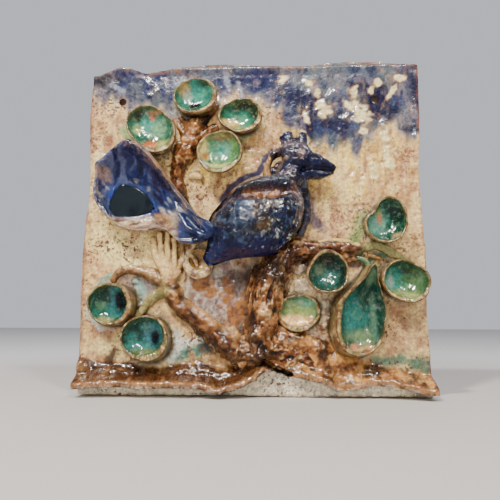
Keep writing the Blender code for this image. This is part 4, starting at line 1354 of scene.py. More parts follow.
    under = spot((-18, -66), (38, 34), -30, 0.35, 0.25, 9, 214)
    coat = paint(
        coat,
        (0.85 * under, LILAC * 0.75 + RUST * 0.08 + MILK * 0.08),
        (0.6 * under * cloud(6, 404, 0.1, 0.5, 0.5), BARK * 0.3 + RUST * 0.4 + LILAC * 0.2),
    )
    veins = ridges(clay_noise(x, flat, z * 0.45, 8, 215, 2))
    coat = paint(coat, (under * smooth_step(0.78, 0.95, veins) * 0.55, MILK * 0.8 + LILAC * 0.2))
    for path, width in WHITE_DRIPS:
        coat = paint(
            coat,
            (
                0.65 * trail(path, width * 0.7, 0.8, 0.45, 9, 217),
                MILK * 0.75 + TURQUOISE * 0.1 + LILAC * 0.15,
            ),
        )
    coat = paint(
        coat,
        (0.5 * under * cloud(3.2, 227, 0.30, 0.65), MILK * 0.6 + LILAC * 0.35),
        (0.6 * under * cloud(8, 236, 0.0, 0.5), RUST * 0.45 + LILAC * 0.3),
    )
    pale_rims = [(centre, (reach[0] + 1.5, reach[1] + 1.5), turn) for centre, reach, turn in OCHRE_PATCHES]
    coat = paint(
        coat,
        *patches(pale_rims, MILK * 0.6 + LILAC * 0.35, 0.75, 350, 0.3, 0.7, 5),
        *patches(OCHRE_PATCHES, HONEY * 0.6 + CARAMEL * 0.4, 0.95, 350, 0.3, 0.7, 5),
        (0.6 * under * cloud(3.6, 405, 0.15, 0.5), LILAC * 0.3 + COBALT * 0.2 + BARK * 0.3),
        # Painted shade below the bird's body, and a dark brown band down the trunk's left side.
        (0.80 * spot((8, -46), (30, 14), 15, 0.6, 0.3, 8, 218), BARK * 0.6 + SOOT_AND_SHADE * 0.4),
        (0.8 * trail(((8, -48), (2, -66), (-4, -84), (-8, -100)), 6, 0.6, 0.4, 6, 219), BARK),
        *patches(
            (((-55, -85), (4, 3), 0), ((-60, -40), (3, 3), 0), ((-52, -46), (3, 4), 0)),
            COBALT * 0.5 + LILAC * 0.2, 0.7, 220, 0.5, 0.4, 4,
        ),
        *patches(
            (((-100, -52), (16, 7), -8), ((-96, -60), (10, 6), 0)),
            SKY_GREY * 0.55 + LILAC * 0.3 + MILK * 0.1, 0.75, 370,
        ),
        *patches((((86, -36), (9, 4), -8),), SOOT_AND_SHADE * 0.6 + LILAC * 0.4, 0.85, 374),
        *patches(
            (((44, -56), (9, 7), 0), ((40, -96), (18, 6), -10), ((60, -70), (7, 12), 20)),
            MILK * 0.5 + SAND * 0.4, 0.65, 376,
        ),
    )

    run_tints = (
        EMERALD * 0.6 + TURQUOISE * 0.4, DEEP_GREEN * 0.6 + NAVY * 0.4, TURQUOISE * 0.75 + MILK * 0.25,
        PALE_GREEN, MILK * 0.85 + TURQUOISE * 0.15,
    )
    for path, width, tint in TEAL_RUNS:
        coat = paint(coat, (0.85 * trail(path, width, 0.7, 0.5, 5, 221), run_tints[tint]))
    # Round each leaf's foot: a pale green glaze run, and close in a dark brown band that is painted shadow.
    for leaf in LEAVES.values():
        middle = middle_of(leaf["edge"]) + leaf["move"]
        turn, distance = turn_and_distance(x, z, middle)
        beyond = distance - leaf_reach(leaf, turn) * min(leaf["foot"], 1)
        coat = paint(
            coat,
            (0.45 * smooth_step(7.0, 2.0, beyond + warp), PALE_GREEN * 0.3 + MILK * 0.4 + SAND * 0.2),
            (0.88 * smooth_step(4.6, 0.8, beyond + warp * 0.4), BARK * 0.5 + OLIVE * 0.4 + SAND * 0.06),
        )

    top = through(GROUND_EDGE, x)
    earth = 1 - smooth_step(-1.5, 2.5, z - top - 1.5 - 0.5 * warp)
    lip = through(LIP_EDGE, x)
    under_lip = 1 - smooth_step(-1.2, 0.0, z - lip)
    earth = earth * (1 - under_lip)

    def in_earth(size, seed, low, high):
        return earth * smooth_step(low, high, clay_noise(x, rise, z, size, seed, 3))

    coat = paint(
        coat,
        (earth, CARAMEL),
        (0.45 * earth * smooth_step(10, -30, x), BARK),
        (0.5 * earth * smooth_step(20, 60, x) * cloud(12, 257, -0.3, 0.4), HONEY * 0.4 + SAND * 0.6),
        (in_earth(8, 223, -0.1, 0.6) * (0.15 + 0.85 * smooth_step(-40, 20, x)), HONEY * 0.5 + SAND * 0.5),
        (0.8 * in_earth(5, 237, 0.25, 0.7) * (0.5 + 0.5 * smooth_step(-30, 20, x)), SAND),
    )
    coat = coat * (1 + 0.3 * earth * smooth_step(10, 60, x))[:, None]
    coat = paint(coat, (0.9 * in_earth(6, 224, 0.0, 0.45), BARK))
    middle = bump_at(x, -15, 60)
    coat = paint(
        coat,
        (0.5 * earth * middle, BARK * 0.7 + SOOT_AND_SHADE * 0.3),
        (0.8 * earth * bump_at(z - lip, 9.5, 5.0) * (x < 0), BARK * 0.7 + CARAMEL * 0.3),
        (0.75 * earth * bump_at(z - lip, 3.6, 3.4), SAND * 0.55 + RUST * 0.25 + PINK_BUFF * 0.2),
        (0.85 * earth * bump_at(z - lip, 1.0, 1.6) * cloud(3, 238, -0.3, 0.4), PINK_BUFF * 0.5 + MILK * 0.4),
        *patches((((-122, -116), (4, 9), -25),), BARK * 0.8 + SOOT_AND_SHADE * 0.2, 0.9, 378),
        *patches((((-30, -120), (10, 6), -10), ((-52, -118), (4, 6), 0)), SAND * 0.7 + HONEY * 0.3, 0.7, 380),
        (under_lip, CREAM * 0.35 + MILK * 0.65),
        (0.5 * under_lip * cloud(4, 239, 0.1, 0.5), SKY_GREY * 0.4 + PINK_BUFF * 0.4 + MILK * 0.2),
        (trail(CRACK, 2.6, 0.4, 0.25, 4, 14), SOOT_AND_SHADE),
    )
    side = smooth_step(WIDTH / 2 - 3.5, WIDTH / 2 - 0.5, np.abs(x) + 0.5 * warp)
    coat = paint(coat, (0.6 * side, PINK_BUFF * 0.8 + RUST * 0.2))
    corner = spot((-143, 136), (17, 6), 0, 0.6, 0.4, 4, 225)
    coat = paint(
        coat,
        (0.85 * corner, SOOT_AND_SHADE * 0.4 + BARK * 0.2 + NAVY * 0.4),
        (1 - smooth_step(4.0, 9.0, rise), BUFF * 0.5 + PINK_BUFF * 0.5),
    )
    # Painted shade: the nail holes' walls and a ring round them on the front are painted near-black.
    for hx, hz in HOLES:
        coat = paint(coat, ((rise > BACK_RISE) * (1 - smooth_step(3.0, 4.2, np.hypot(x - hx, z - hz))), SOOT_AND_SHADE))

    clay = 1 - 0.75 * np.maximum(sky, earth)
    clay = np.maximum(clay, torn)
    clay = clay * (0.62 + 0.38 * cloud(34, 228, -0.3, 0.5, 1.0, 2))
    clay = clay * (1 - 0.5 * under) * (1 - 0.4 * np.clip(fall, 0, 1))
    for centre, reach, turn in bright_runs:
        clay = clay * (1 - 0.95 * spot(centre, reach, turn, 0.5, 0.5, 5, 403))
    clay = np.where(rise > BACK_RISE, clay, BACK_CLAY)
    store(slab, "coat", coat)
    store(slab, "clay", np.clip(clay, 0, 1))


def coat_tree(tree, near, relief, lumps):
    """Honey brown and pale sand on the bark's crests, partly painted highlight; dark brown and near-black in
    its hollows, partly painted shade; pale on the strands and the loop.
    """
    x, rise, z = points_of(tree)
    cloud, spot, trail = masks_on(x, rise, z)

    coat = np.tile(CARAMEL, (len(x), 1))
    coat = paint(
        coat,
        (0.8 * cloud(11, 240, -0.1, 0.5), HONEY * 0.45 + SAND * 0.25 + PINK_BUFF * 0.3),
        (0.6 * cloud(7, 241, 0.1, 0.6), RUST * 0.6 + BARK * 0.4),
        # The paler honey, sand and cream on the bark's crests are partly painted highlight.
        (smooth_step(0.10, 0.8, relief + 0.4 * lumps) * 0.85, HONEY * 0.5 + SAND * 0.4 + PINK_BUFF * 0.1),
        (smooth_step(0.45, 1.0, relief + 0.6 * lumps) * 0.85, SAND * 0.8 + CREAM * 0.2),
        (
            0.7 * cloud(4.0, 242, 0.30, 0.65) * smooth_step(-0.2, 0.6, relief),
            CREAM * 0.5 + MILK * 0.15 + SAND * 0.35,
        ),
        # The dark brown and near-black in the bark's hollows are partly painted shade.
        (0.9 * smooth_step(0.0, -0.6, relief + 0.6 * lumps), BARK),
        (0.95 * smooth_step(-0.45, -1.1, relief + 0.9 * lumps), SOOT_AND_SHADE),
        (0.5 * cloud(9, 230, 0.3, 0.8), BARK),
    )
    # Painted light and shade on the leaning left branch: paler on its upper side, dark brown on its
    # underside.
    over_top = (z - near[:, 2]) / np.maximum(near[:, 6], 1)
    leaning = trail(((-6, -112), (-30, -97), (-56, -76), (-74, -56)), 14, 0.3, 0.1, 8, 250)
    coat = paint(
        coat,
        (0.6 * leaning * smooth_step(0.1, 0.7, over_top), SAND * 0.55 + HONEY * 0.3 + CREAM * 0.15),
        (0.9 * leaning * smooth_step(0.1, -0.5, over_top), BARK * 0.85 + CARAMEL * 0.15),
    )
    # Dark patches on the trunk; the widest, just below the bird's body, is painted shade under it.
    for centre, reach, turn in (
        ((10, -42), (24, 11), 12), ((6, -116), (12, 8), 0), ((22, -48), (6, 12), 10),
        ((0, -92), (4, 18), 0),
    ):
        coat = paint(coat, (0.8 * spot(centre, reach, turn, 0.6, 0.4, 6, 231), SOOT_AND_SHADE * 0.5 + BARK * 0.5))
    right = trail(((34, -26), (52, -26), (70, -26), (92, -24)), 9, 0.5, 0.3, 5, 243)
    coat = paint(
        coat,
        (0.85 * right * cloud(7, 251, -0.6, 0.2), BARK * 0.85 + RUST * 0.15),
        (
            0.85 * trail(((58, -17), (68, -15), (80, -16), (90, -19)), 1.6, 0.6, 0.4, 4, 244),
            GOLD_CREAM * 0.7 + SAND * 0.3,
        ),
        (0.8 * spot((42, -44), (7, 5), 0, 0.6, 0.4, 4, 245), MILK * 0.4 + SAND * 0.5),
    )
    pale = spot((-76, -24), (15, 25), 0, 0.4, 0.2, 6, 233)
    coat = paint(
        coat,
        (0.92 * pale, CREAM * 0.8 + SAND * 0.2),
        (0.5 * pale * cloud(5, 252, 0.2, 0.6), RUST * 0.3 + PINK_BUFF * 0.7),
    )
    # Darker brown where the pale strands dip between each other: partly brown glaze, partly painted shade.
    depth = rise - near[:, 1] - 0.35 * near[:, 6]
    coat = paint(coat, (0.95 * pale * smooth_step(1.3, -0.1, depth), RUST * 0.35 + BARK * 0.55))
    loop = trail(((-48, -17), (-57.5, -32), (-50, -45.5), (-42, -45), (-36.5, -39.5)), 5.5, 0.3, 0.1, 4, 253)
    coat = paint(
        coat,
        (0.92 * loop, CREAM * 0.7 + MILK * 0.15 + PINK_BUFF * 0.15),
        (0.8 * loop * cloud(4, 254, 0.0, 0.45), RUST * 0.5 + OLIVE * 0.2 + LILAC * 0.2),
        # Painted shade on the loop's lower side, near the slab.
        (0.7 * loop * smooth_step(17, 14, rise), BARK),
    )
    arc = spot((-104, -44), (20, 9), -10, 0.5, 0.3, 6, 234)
    coat = paint(
        coat,
        (0.85 * arc, SAND * 0.5 + PINK_BUFF * 0.2 + CREAM * 0.3),
        (0.7 * arc * cloud(4, 258, 0.0, 0.5), RUST * 0.5 + BARK * 0.3),
        # Painted shade on the arc's underside.
        (0.7 * arc * smooth_step(0.3, -0.5, over_top), BARK * 0.7 + RUST * 0.3),
    )
    low_stem = trail(((-78, -62), (-90, -68), (-98, -78)), 6, 0.5, 0.3, 5, 246)
    coat = paint(
        coat,
        (0.8 * low_stem, PALE_GREEN * 0.35 + CREAM * 0.4 + OLIVE * 0.2),
        (0.6 * low_stem * cloud(3.5, 260, 0.1, 0.5), RUST * 0.4 + OLIVE * 0.4),
        (
            0.75 * spot((114, -24), (22, 10), -20, 0.5, 0.3, 6, 235),
            CREAM * 0.35 + PALE_GREEN * 0.4 + TURQUOISE * 0.15,
        ),
        (
            0.8 * spot((98, -34), (8, 7), 0, 0.5, 0.3, 4, 247),
            TURQUOISE * 0.35 + PALE_GREEN * 0.4 + OLIVE * 0.2,
        ),
        (0.85 * trail(((98, -29.5), (111, -32)), 2.6, 0.4, 0.2, 4, 248), HONEY * 0.6 + SAND * 0.4),
    )
    stem = spot((-59, 66), (15, 34), 0, 0.4, 0.3, 6, 236)
    coat = paint(
        coat,
        (0.5 * stem * cloud(6, 255, -0.3, 0.4), HONEY * 0.7 + RUST * 0.3),
        # On the upper stem: paler sand and cream on its crests, partly painted highlight, and dark brown down
        # its sides, painted shade.
        (0.6 * stem * smooth_step(0.35, 0.9, relief + 0.5 * lumps), SAND * 0.6 + CREAM * 0.4),
        (
            0.85 * stem * smooth_step(0.35, 0.9, np.abs(x - near[:, 0]) / np.maximum(near[:, 6], 1)),
            BARK * 0.6 + RUST * 0.4,
        ),
        (0.9 * spot((-51, 42.5), (9, 5), 0, 0.4, 0.2, 4, 249), CREAM),
    )
    # Painted shade where the rolls meet the slab.
    low = 1 - smooth_step(SLAB + 0.5, SLAB + 3.2, rise)
    coat = paint(coat, (0.7 * low * (1 - 0.7 * pale), BARK * 0.5 + SOOT_AND_SHADE * 0.5))
    store(tree, "coat", coat)
    store(tree, "clay", 0.22 + 0.4 * pale + 0.3 * loop)


# Where each leaf's glaze changes colour: the tint, its place and its reach. The deep greens and olives along
# a cup's upper side are partly painted shade under its upper rim.
LEAF_TINTS = {
    "upper_left": (
        (TURQUOISE, (-94, 88), (13, 8)), (TURQUOISE * 0.6 + PALE_GREEN * 0.4, (-85, 84), (8, 9)),
        (OLIVE * 0.5 + DEEP_GREEN * 0.5, (-107, 98), (9, 8)),
        (HONEY * 0.4 + RUST * 0.6, (-88, 68), (9, 4.2)), (PALE_GREEN, (-80, 69), (5, 4)),
        (PALE_GREEN, (-104, 84), (4, 4)), (PINK_BUFF, (-91, 95.5), (2.4, 2.2)),
        (OLIVE * 0.6 + CREAM * 0.2, (-86, 99), (8, 2.4)),
    ),
    "top": (
        (TURQUOISE, (-52, 117), (14, 12)), (BUFF * 0.5 + PALE_GREEN * 0.5, (-63, 124), (5, 7)),
        (OLIVE * 0.5 + EMERALD * 0.5, (-43, 127), (7, 4)),
        (TURQUOISE * 0.6 + MILK * 0.4, (-59, 116), (3.4, 6)), (SHADOW_BLUE, (-52, 105.8), (5.6, 3.6)),
    ),
    "upper_right": (
        (TURQUOISE * 0.8 + EMERALD * 0.2, (-12, 94), (11, 9)),
        # Dark green along the top: painted shade under the upper rim.
        (DEEP_GREEN * 0.7 + OLIVE * 0.3, (-8, 106), (14, 5.5)),
        (DEEP_GREEN * 0.6 + OLIVE * 0.4, (2, 96), (4, 8)),
        (CREAM * 0.4 + PALE_GREEN * 0.6, (-23, 89), (8, 4.5)), (PALE_GREEN, (-12, 83), (9, 3)),
    ),
    "middle_right": (
        (PALE_GREEN * 0.6 + EMERALD * 0.4, (-25, 64), (14, 13)),
        (TURQUOISE * 0.85 + MILK * 0.15, (-29, 64), (8, 9)),
        (TURQUOISE * 0.8 + COBALT * 0.2, (-28, 63), (3, 3)), (CREAM, (-45, 62), (5, 12)),
        (OLIVE * 0.5 + BUFF * 0.4, (-28, 76), (14, 3)),
        (CREAM * 0.6 + PALE_GREEN * 0.4, (-28, 47), (16, 4)),
        (RUST * 0.5 + HONEY * 0.5, (-42, 58), (3, 3.5)), (MILK, (-43, 49.5), (3.2, 2.4)),
    ),
    "lower_left": (
        (DEEP_GREEN * 0.5 + EMERALD * 0.5, (-126, -68), (13, 12)),
        (TURQUOISE * 0.8 + EMERALD * 0.2, (-120, -80), (10, 6)), (TURQUOISE, (-117, -61), (5, 3.4)),
        (TURQUOISE * 0.5 + PALE_GREEN * 0.4, (-130, -73), (4, 3.5)),
        (PALE_GREEN * 0.7 + CREAM * 0.3, (-126, -86), (11, 3)),
        (DEEP_GREEN * 0.5 + OLIVE * 0.5, (-124, -57), (11, 2.4)),
        (TURQUOISE * 0.8 + SKY_BLUE * 0.3, (-114.5, -69), (8.4, 11)),
        (SHADOW_BLUE * 0.5, (-112.3, -69.5), (6.4, 8.6)),
        (OLIVE * 0.6 + DEEP_GREEN * 0.3, (-110, -64), (3, 4)),
    ),
    "low_by_ground": (
        (DEEP_GREEN * 0.5 + EMERALD * 0.5, (-96, -97), (13, 10)), (TURQUOISE, (-96, -107), (10, 4)),
        (TURQUOISE, (-88, -91), (7, 3)), (TURQUOISE * 0.7 + EMERALD * 0.3, (-102, -100), (4, 6)),
        (PALE_GREEN, (-90, -112.5), (13, 3)), (TURQUOISE * 0.8 + SKY_BLUE * 0.2, (-84, -98), (8, 9)),
        (COBALT * 0.3 + SHADOW_BLUE * 0.5, (-81.8, -99.5), (4.4, 6)),
    ),
    "right_edge_upper": (
        (DEEP_GREEN, (122, 6), (10, 15)), (EMERALD, (115, -6), (10, 8)),
        (TURQUOISE * 0.85 + MILK * 0.15, (106, -2), (8.5, 12)), (PALE_GREEN, (106, 8), (4, 3)),
        (PINK_BUFF * 0.5 + BUFF * 0.5, (109, 2), (2.0, 5)), (CREAM, (126, -14), (6, 3.0)),
    ),
    "under_branch": (
        (DEEP_GREEN * 0.6 + EMERALD * 0.4, (67, -45), (13, 13)),
        (TURQUOISE * 0.6 + EMERALD * 0.4, (64, -50), (9, 7)),
        (PALE_GREEN * 0.5 + TURQUOISE * 0.5, (56, -42), (5, 5)), (OLIVE, (61, -32), (12, 3)),
        (DEEP_GREEN, (76, -46), (3, 9)),
    ),
    "right_edge_lower": (
        (DEEP_GREEN * 0.7 + EMERALD * 0.3, (126, -39), (15, 5)), (TURQUOISE, (119, -52), (10, 9)),
        (TURQUOISE * 0.6 + MILK * 0.35, (115, -52), (4, 5)),
        (EMERALD * 0.6 + PALE_GREEN * 0.4, (134, -54), (9, 9)),
        (PALE_GREEN * 0.8 + CREAM * 0.2, (125, -64), (13, 4)),
    ),
    "by_trunk": (
        (PALE_GREEN, (40, -77), (15, 8)), (TURQUOISE * 0.7 + PALE_GREEN * 0.3, (46, -69), (9, 4.5)),
        (CREAM * 0.8 + PALE_GREEN * 0.2, (38, -86), (16, 5)),
    ),
    "pear": (
        (TURQUOISE * 0.7 + EMERALD * 0.3, (86, -80), (11, 17)), (TURQUOISE, (80, -84), (4, 10)),
        (DEEP_GREEN * 0.8 + EMERALD * 0.2, (99, -66), (8, 12)), (DEEP_GREEN, (103, -92), (5, 9)),
        (EMERALD * 0.7 + DEEP_GREEN * 0.3, (92, -60), (7, 7)),
        (PALE_GREEN * 0.7 + TURQUOISE * 0.3, (90, -98), (11, 6)),
        (CREAM * 0.5 + PALE_GREEN * 0.5, (92, -108.5), (14, 3.6)), (BUFF, (84, -106), (2.8, 2.6)),
        (BUFF * 0.6 + RUST * 0.3, (95, -110.5), (3.0, 2.2)),
        (PALE_GREEN * 0.6 + TURQUOISE * 0.4, (99, -46), (4, 7)),
        (TURQUOISE * 0.5 + PALE_GREEN * 0.3, (101, -84), (2.4, 16)),
    ),
    "curl": (),
}


def coat_leaf(piece, name, number):
    """Rusty clay outside and on the rim, and a green glaze that pooled in the cup."""
    leaf = LEAVES[name]
    x, rise, z = points_of(piece)
    middle = middle_of(leaf["edge"])
    turn, distance = turn_and_distance(x, z, middle)
    share = distance / leaf_reach(leaf, turn)
    wall_ends = inner_share(leaf, mean_reach(leaf), turn)
    cloud, spot, _ = masks_on(x, rise, z, 7 * number)

    rough = clay_noise(x, rise, z, 4.5, 300 + number, 3)
    facing_out = normals_of(piece)
    outward = (facing_out[:, 0] * (x - middle[0]) + facing_out[:, 2] * (z - middle[1])) / (distance + 0.1)
    bowl = np.maximum(smooth_step(0.25, -0.15, outward), smooth_step(0.52, 0.40, share)) * (rise > SLAB + 1)
    bare = np.tile(
        SAND * 0.4 + PALE_GREEN * 0.12 + PINK_BUFF * 0.1 + CREAM * 0.15 + OLIVE * 0.25, (len(x), 1),
    )
    bare = paint(
        bare,
        (0.7 * cloud(4.5, 301, 0.1, 0.6), CREAM),
        (0.65 * cloud(6, 312, -0.1, 0.4), PALE_GREEN * 0.45 + OLIVE * 0.4 + SAND * 0.1),
        (0.8 * cloud(3.0, 302, 0.15, 0.5), RUST * 0.6 + BARK * 0.4),
        (0.7 * cloud(1.6, 316, 0.15, 0.45), RUST * 0.7 + PINK_BUFF * 0.2),
    )
    outside = smooth_step(0.80, 0.95, share) * (1 - smooth_step(leaf["rise"] - 4, leaf["rise"] - 1, rise))
    bare = paint(
        bare,
        (0.8 * outside * cloud(7, 303, -0.6, 0.3), OLIVE * 0.6 + PALE_GREEN * 0.15 + SAND * 0.1),
        (0.6 * outside * cloud(5, 313, -0.1, 0.4), RUST * 0.4 + BARK * 0.5),
        # Painted shade at the foot of the wall, where it meets the slab.
        (0.85 * smooth_step(SLAB + 6, SLAB + 1, rise), BARK * 0.6 + OLIVE * 0.4),
    )
    thin_line = bump_at(share, 0.985, 0.045) * smooth_step(leaf["rise"] - 4, leaf["rise"] - 2, rise)
    bare = paint(bare, (0.8 * thin_line * cloud(6, 304, -0.6, 0.0), BARK * 0.6 + RUST * 0.3 + OLIVE * 0.1))
    if name == "curl":
        bare = paint(
            bare,
            (0.9 * smooth_step(wall_ends, wall_ends - 0.12, share), SAND * 0.6 + HONEY * 0.2 + OLIVE * 0.2),
            (0.8 * spot((-42, -40), (8, 6), 40, 0.4, 0.3, 3, 305), CREAM),
        )
        store(piece, "coat", bare)
        store(piece, "clay", np.full(len(x), 0.5))
        return
    runs_over = 0.09 * cloud(9, 314, -0.1, 0.4)
    inside = smooth_step(wall_ends + 0.06 + runs_over, wall_ends - 0.03, share + 0.04 * rough) * bowl
    green = np.tile(EMERALD, (len(x), 1))
    for step, (tint, centre, spread) in enumerate(LEAF_TINTS[name]):
        green = paint(green, (0.95 * spot(centre, spread, 0, 0.65, 0.35, 5, 310 + 7 * number + step), tint))
    green = paint(
        green,
        (0.45 * cloud(5, 306, 0.15, 0.7), green * 0.35),
        (0.30 * cloud(4, 307, 0.2, 0.7), PALE_GREEN * 0.6 + TURQUOISE * 0.4),
        (0.30 * cloud(2.2, 308, 0.3, 0.7), TURQUOISE * 0.5 + MILK * 0.3),
    )
    near_wall = smooth_step(wall_ends - 0.14, wall_ends, share)
    green = green * np.array(leaf.get("tone", (1, 1, 1)))
    green = paint(
        green,
        (0.75 * near_wall * cloud(6, 309, -0.5, 0.2), OLIVE * 0.5 + BARK * 0.35 + PALE_GREEN * 0.1),
    )
    if "pool" in leaf:
        green = paint(green, (0.97 * spot(*leaf["pool"], 15, 0.3, 0.15, 4, 315), SHADOW_BLUE * 0.35))
    mask = inside[:, None]
    coat = bare * (1 - mask) + green * mask
    store(piece, "coat", coat)
    store(piece, "clay", 1 - 0.97 * inside)


def coat_body(body):
    """Dark blue, brown where it broke over the wing, with pale flecks on the breast."""
    x, rise, z = points_of(body)
    cloud, spot, trail = masks_on(x, rise, z)

    coat = np.tile(NAVY, (len(x), 1))
    coat = paint(
        coat,
        (0.6 * cloud(12, 400, 0.0, 0.5), COBALT * 0.7 + SKY_GREY * 0.1),
        (0.75 * cloud(7, 401, 0.05, 0.5), SHADOW_BLUE * 0.6 + SOOT_AND_SHADE * 0.4),
        (
            0.75 * cloud(9, 423, -0.1, 0.4) * smooth_step(-24, -12, z),
            BARK * 0.45 + OLIVE * 0.25 + SOOT_AND_SHADE * 0.3,
        ),
        (0.55 * cloud(5, 416, 0.25, 0.6), SKY_GREY * 0.8 + SKY_BLUE * 0.1),
        (
            0.45 * spot((-10, 0), (18, 12), 40, 0.8, 0.6, 6, 402) * cloud(6, 417, -0.2, 0.5),
            SKY_GREY * 0.8 + COBALT * 0.2,
        ),
        (
            0.6 * spot((-5, 8), (6, 12), -10, 0.8, 0.8, 7, 421),
            SKY_BLUE * 0.3 + SKY_GREY * 0.4 + LILAC * 0.1,
        ),
    )
    for centre, reach in (((5, 3), (4, 9)), ((12, -8), (6, 4)), ((16, 8), (4, 4))):
        coat = paint(
            coat,
            (0.75 * spot(centre, reach, -10, 0.6, 0.7, 5, 403), BARK * 0.6 + OLIVE * 0.3 + SAND * 0.08),
        )
    coat = paint(
        coat,
        (0.9 * spot((10, 21), (21, 5), 3, 0.45, 0.3, 6, 404), BARK * 0.7 + RUST * 0.3),
        (
            0.9 * trail(((-6, 23), (4, 20), (14, 18.5), (20, 20)), 2.2, 0.7, 0.6, 5, 418),
            HONEY * 0.4 + RUST * 0.3 + BARK * 0.3,
        ),
        (0.8 * spot((36, 23), (3, 7), 20, 0.6, 0.5, 5, 422), HONEY * 0.2 + RUST * 0.4 + BARK * 0.4),
        (0.7 * trail(((-30, 10), (-18, 21), (-8, 24)), 4, 0.6, 0.4, 5, 405), BARK * 0.6 + NAVY * 0.4),
        (
            0.75 * trail(((-12, 28), (8, 34), (26, 37)), 5, 0.6, 0.4, 5, 406),
            SKY_GREY * 0.3 + BARK * 0.4 + OLIVE * 0.15,
        ),
        (
            0.7 * trail(((-22, 21), (-12, 30), (2, 36), (18, 39)), 1.3, 0.6, 0.4, 4, 419),
            SAND * 0.3 + LILAC * 0.4,
        ),
        (
            0.7 * trail(((34, 30), (40, 20), (41, 8), (38, -4)), 2.6, 0.6, 0.4, 4, 407),
            SKY_GREY * 0.5 + BARK * 0.3 + HONEY * 0.1,
        ),
        (
            0.95 * trail(((-40, -35), (-26, -31), (0, -29), (22, -22)), 8, 0.7, 0.5, 6, 408),
            colour(10, 16, 70),
        ),
    )
    crackle = smooth_step(0.80, 0.95, ridges(clay_noise(x, rise, z, 6, 420, 3))) * smooth_step(-30, 10, x)
    coat = paint(coat, (0.4 * crackle * (1 - smooth_step(-16, -26, z)), SKY_BLUE * 0.4 + SKY_GREY * 0.4))
    fleck_places = smooth_step(-20, 16, x) * smooth_step(18, 10, z) * (1 - smooth_step(-24, -30, z))
    clusters = smooth_step(0.0, 0.5, clay_noise(x, rise, z, 9, 424, 2))
    flecks = smooth_step(0.25, 0.6, clay_noise(x, rise, z, 2.6, 409, 3)) * fleck_places * clusters
    coat = paint(coat, (0.8 * flecks, MILK * 0.7 + SKY_BLUE * 0.2))
    store(body, "coat", coat * (1.28, 1.28, 1.0))
    store(body, "clay", 0.10 + 0.15 * smooth_step(-10, 20, x))


def coat_head(head):
    x, rise, z = points_of(head)
    cloud, spot, trail = masks_on(x, rise, z)

    coat = np.tile(NAVY * 0.8 + COBALT * 0.2, (len(x), 1))
    coat = paint(
        coat,
        (0.6 * cloud(6, 410, 0.0, 0.5), COBALT * 0.6 + NAVY * 0.4),
        (0.6 * cloud(4.5, 411, 0.1, 0.5), BARK * 0.5 + SKY_GREY * 0.25),
        (0.5 * cloud(3.5, 421, 0.35, 0.7), SKY_BLUE * 0.4 + SKY_GREY * 0.3),
    )
    crown = trail(((22, 62), (32, 65.5), (44, 63)), 3.6, 0.6, 0.4, 4, 424)
    coat = paint(
        coat,
        (0.75 * crown, SKY_GREY * 0.5 + LILAC * 0.3 + SAND * 0.1),
        (0.6 * spot((31, 55), (8, 6), 0, 0.6, 0.4, 4, 425), SKY_GREY * 0.4 + BARK * 0.4 + LILAC * 0.1),
        (0.8 * spot((41.5, 55), (3.6, 5), -30, 0.6, 0.5, 4, 415), LILAC * 0.5 + BARK * 0.2 + SAND * 0.1),
        (
            0.85 * trail(((13, 54), (11.5, 46), (13, 39)), 3.4, 0.4, 0.3, 4, 412),
            HONEY * 0.4 + SAND * 0.4 + CREAM * 0.1,
        ),
        (0.95 * spot((21, 55), (5.5, 5.5), 0, 0.4, 0.2, 4, 413), SOOT_AND_SHADE * 0.5 + BARK * 0.5),
        (0.95 * spot((18, 49), (3, 4.5), -20, 0.4, 0.2, 4, 416), BARK * 0.8 + CARAMEL * 0.2),
        (0.8 * trail(((21, 43), (25, 49), (29, 52)), 1.6, 0.5, 0.3, 4, 414), SAND * 0.4 + SKY_GREY * 0.4),
        (0.7 * trail(((14, 35), (26, 38), (34, 43)), 2.0, 0.6, 0.4, 4, 417), LILAC * 0.5 + SKY_GREY * 0.3),
        (0.7 * spot((30, 34), (10, 4), 25, 0.6, 0.4, 4, 418), BARK * 0.7 + OLIVE * 0.3),
    )
    fold = trail(((43, 30), (47, 18), (47, 6), (43, -6), (39, -14)), 4.0, 0.5, 0.3, 5, 419)
    coat = paint(
        coat,
        (0.85 * fold, SKY_GREY * 0.4 + SAND * 0.05 + OLIVE * 0.3),
        (0.8 * fold * cloud(6, 427, 0.0, 0.4), NAVY * 0.6 + COBALT * 0.3),
        (0.7 * fold * cloud(3, 428, 0.2, 0.5), BARK * 0.7 + SAND * 0.12),
        (0.9 * spot((45, 23), (3, 4), -30, 0.5, 0.4, 4, 420), SOOT_AND_SHADE),
        (0.9 * spot((37.5, 75.5), (2.4, 3.2), 10, 0.4, 0.3, 4, 422), CREAM * 0.7 + PINK_BUFF * 0.2),
        (0.8 * spot((44, 76), (3.6, 3), 0, 0.5, 0.4, 4, 426), BARK * 0.6 + SOOT_AND_SHADE * 0.4),
        (0.8 * trail(MOUTH, 1.2, 0.6, 0.3, 4, 423), SOOT_AND_SHADE * 0.7 + BARK * 0.3),
    )
    store(head, "coat", 0.85 * coat)
    store(head, "clay", np.full(len(x), 0.12))


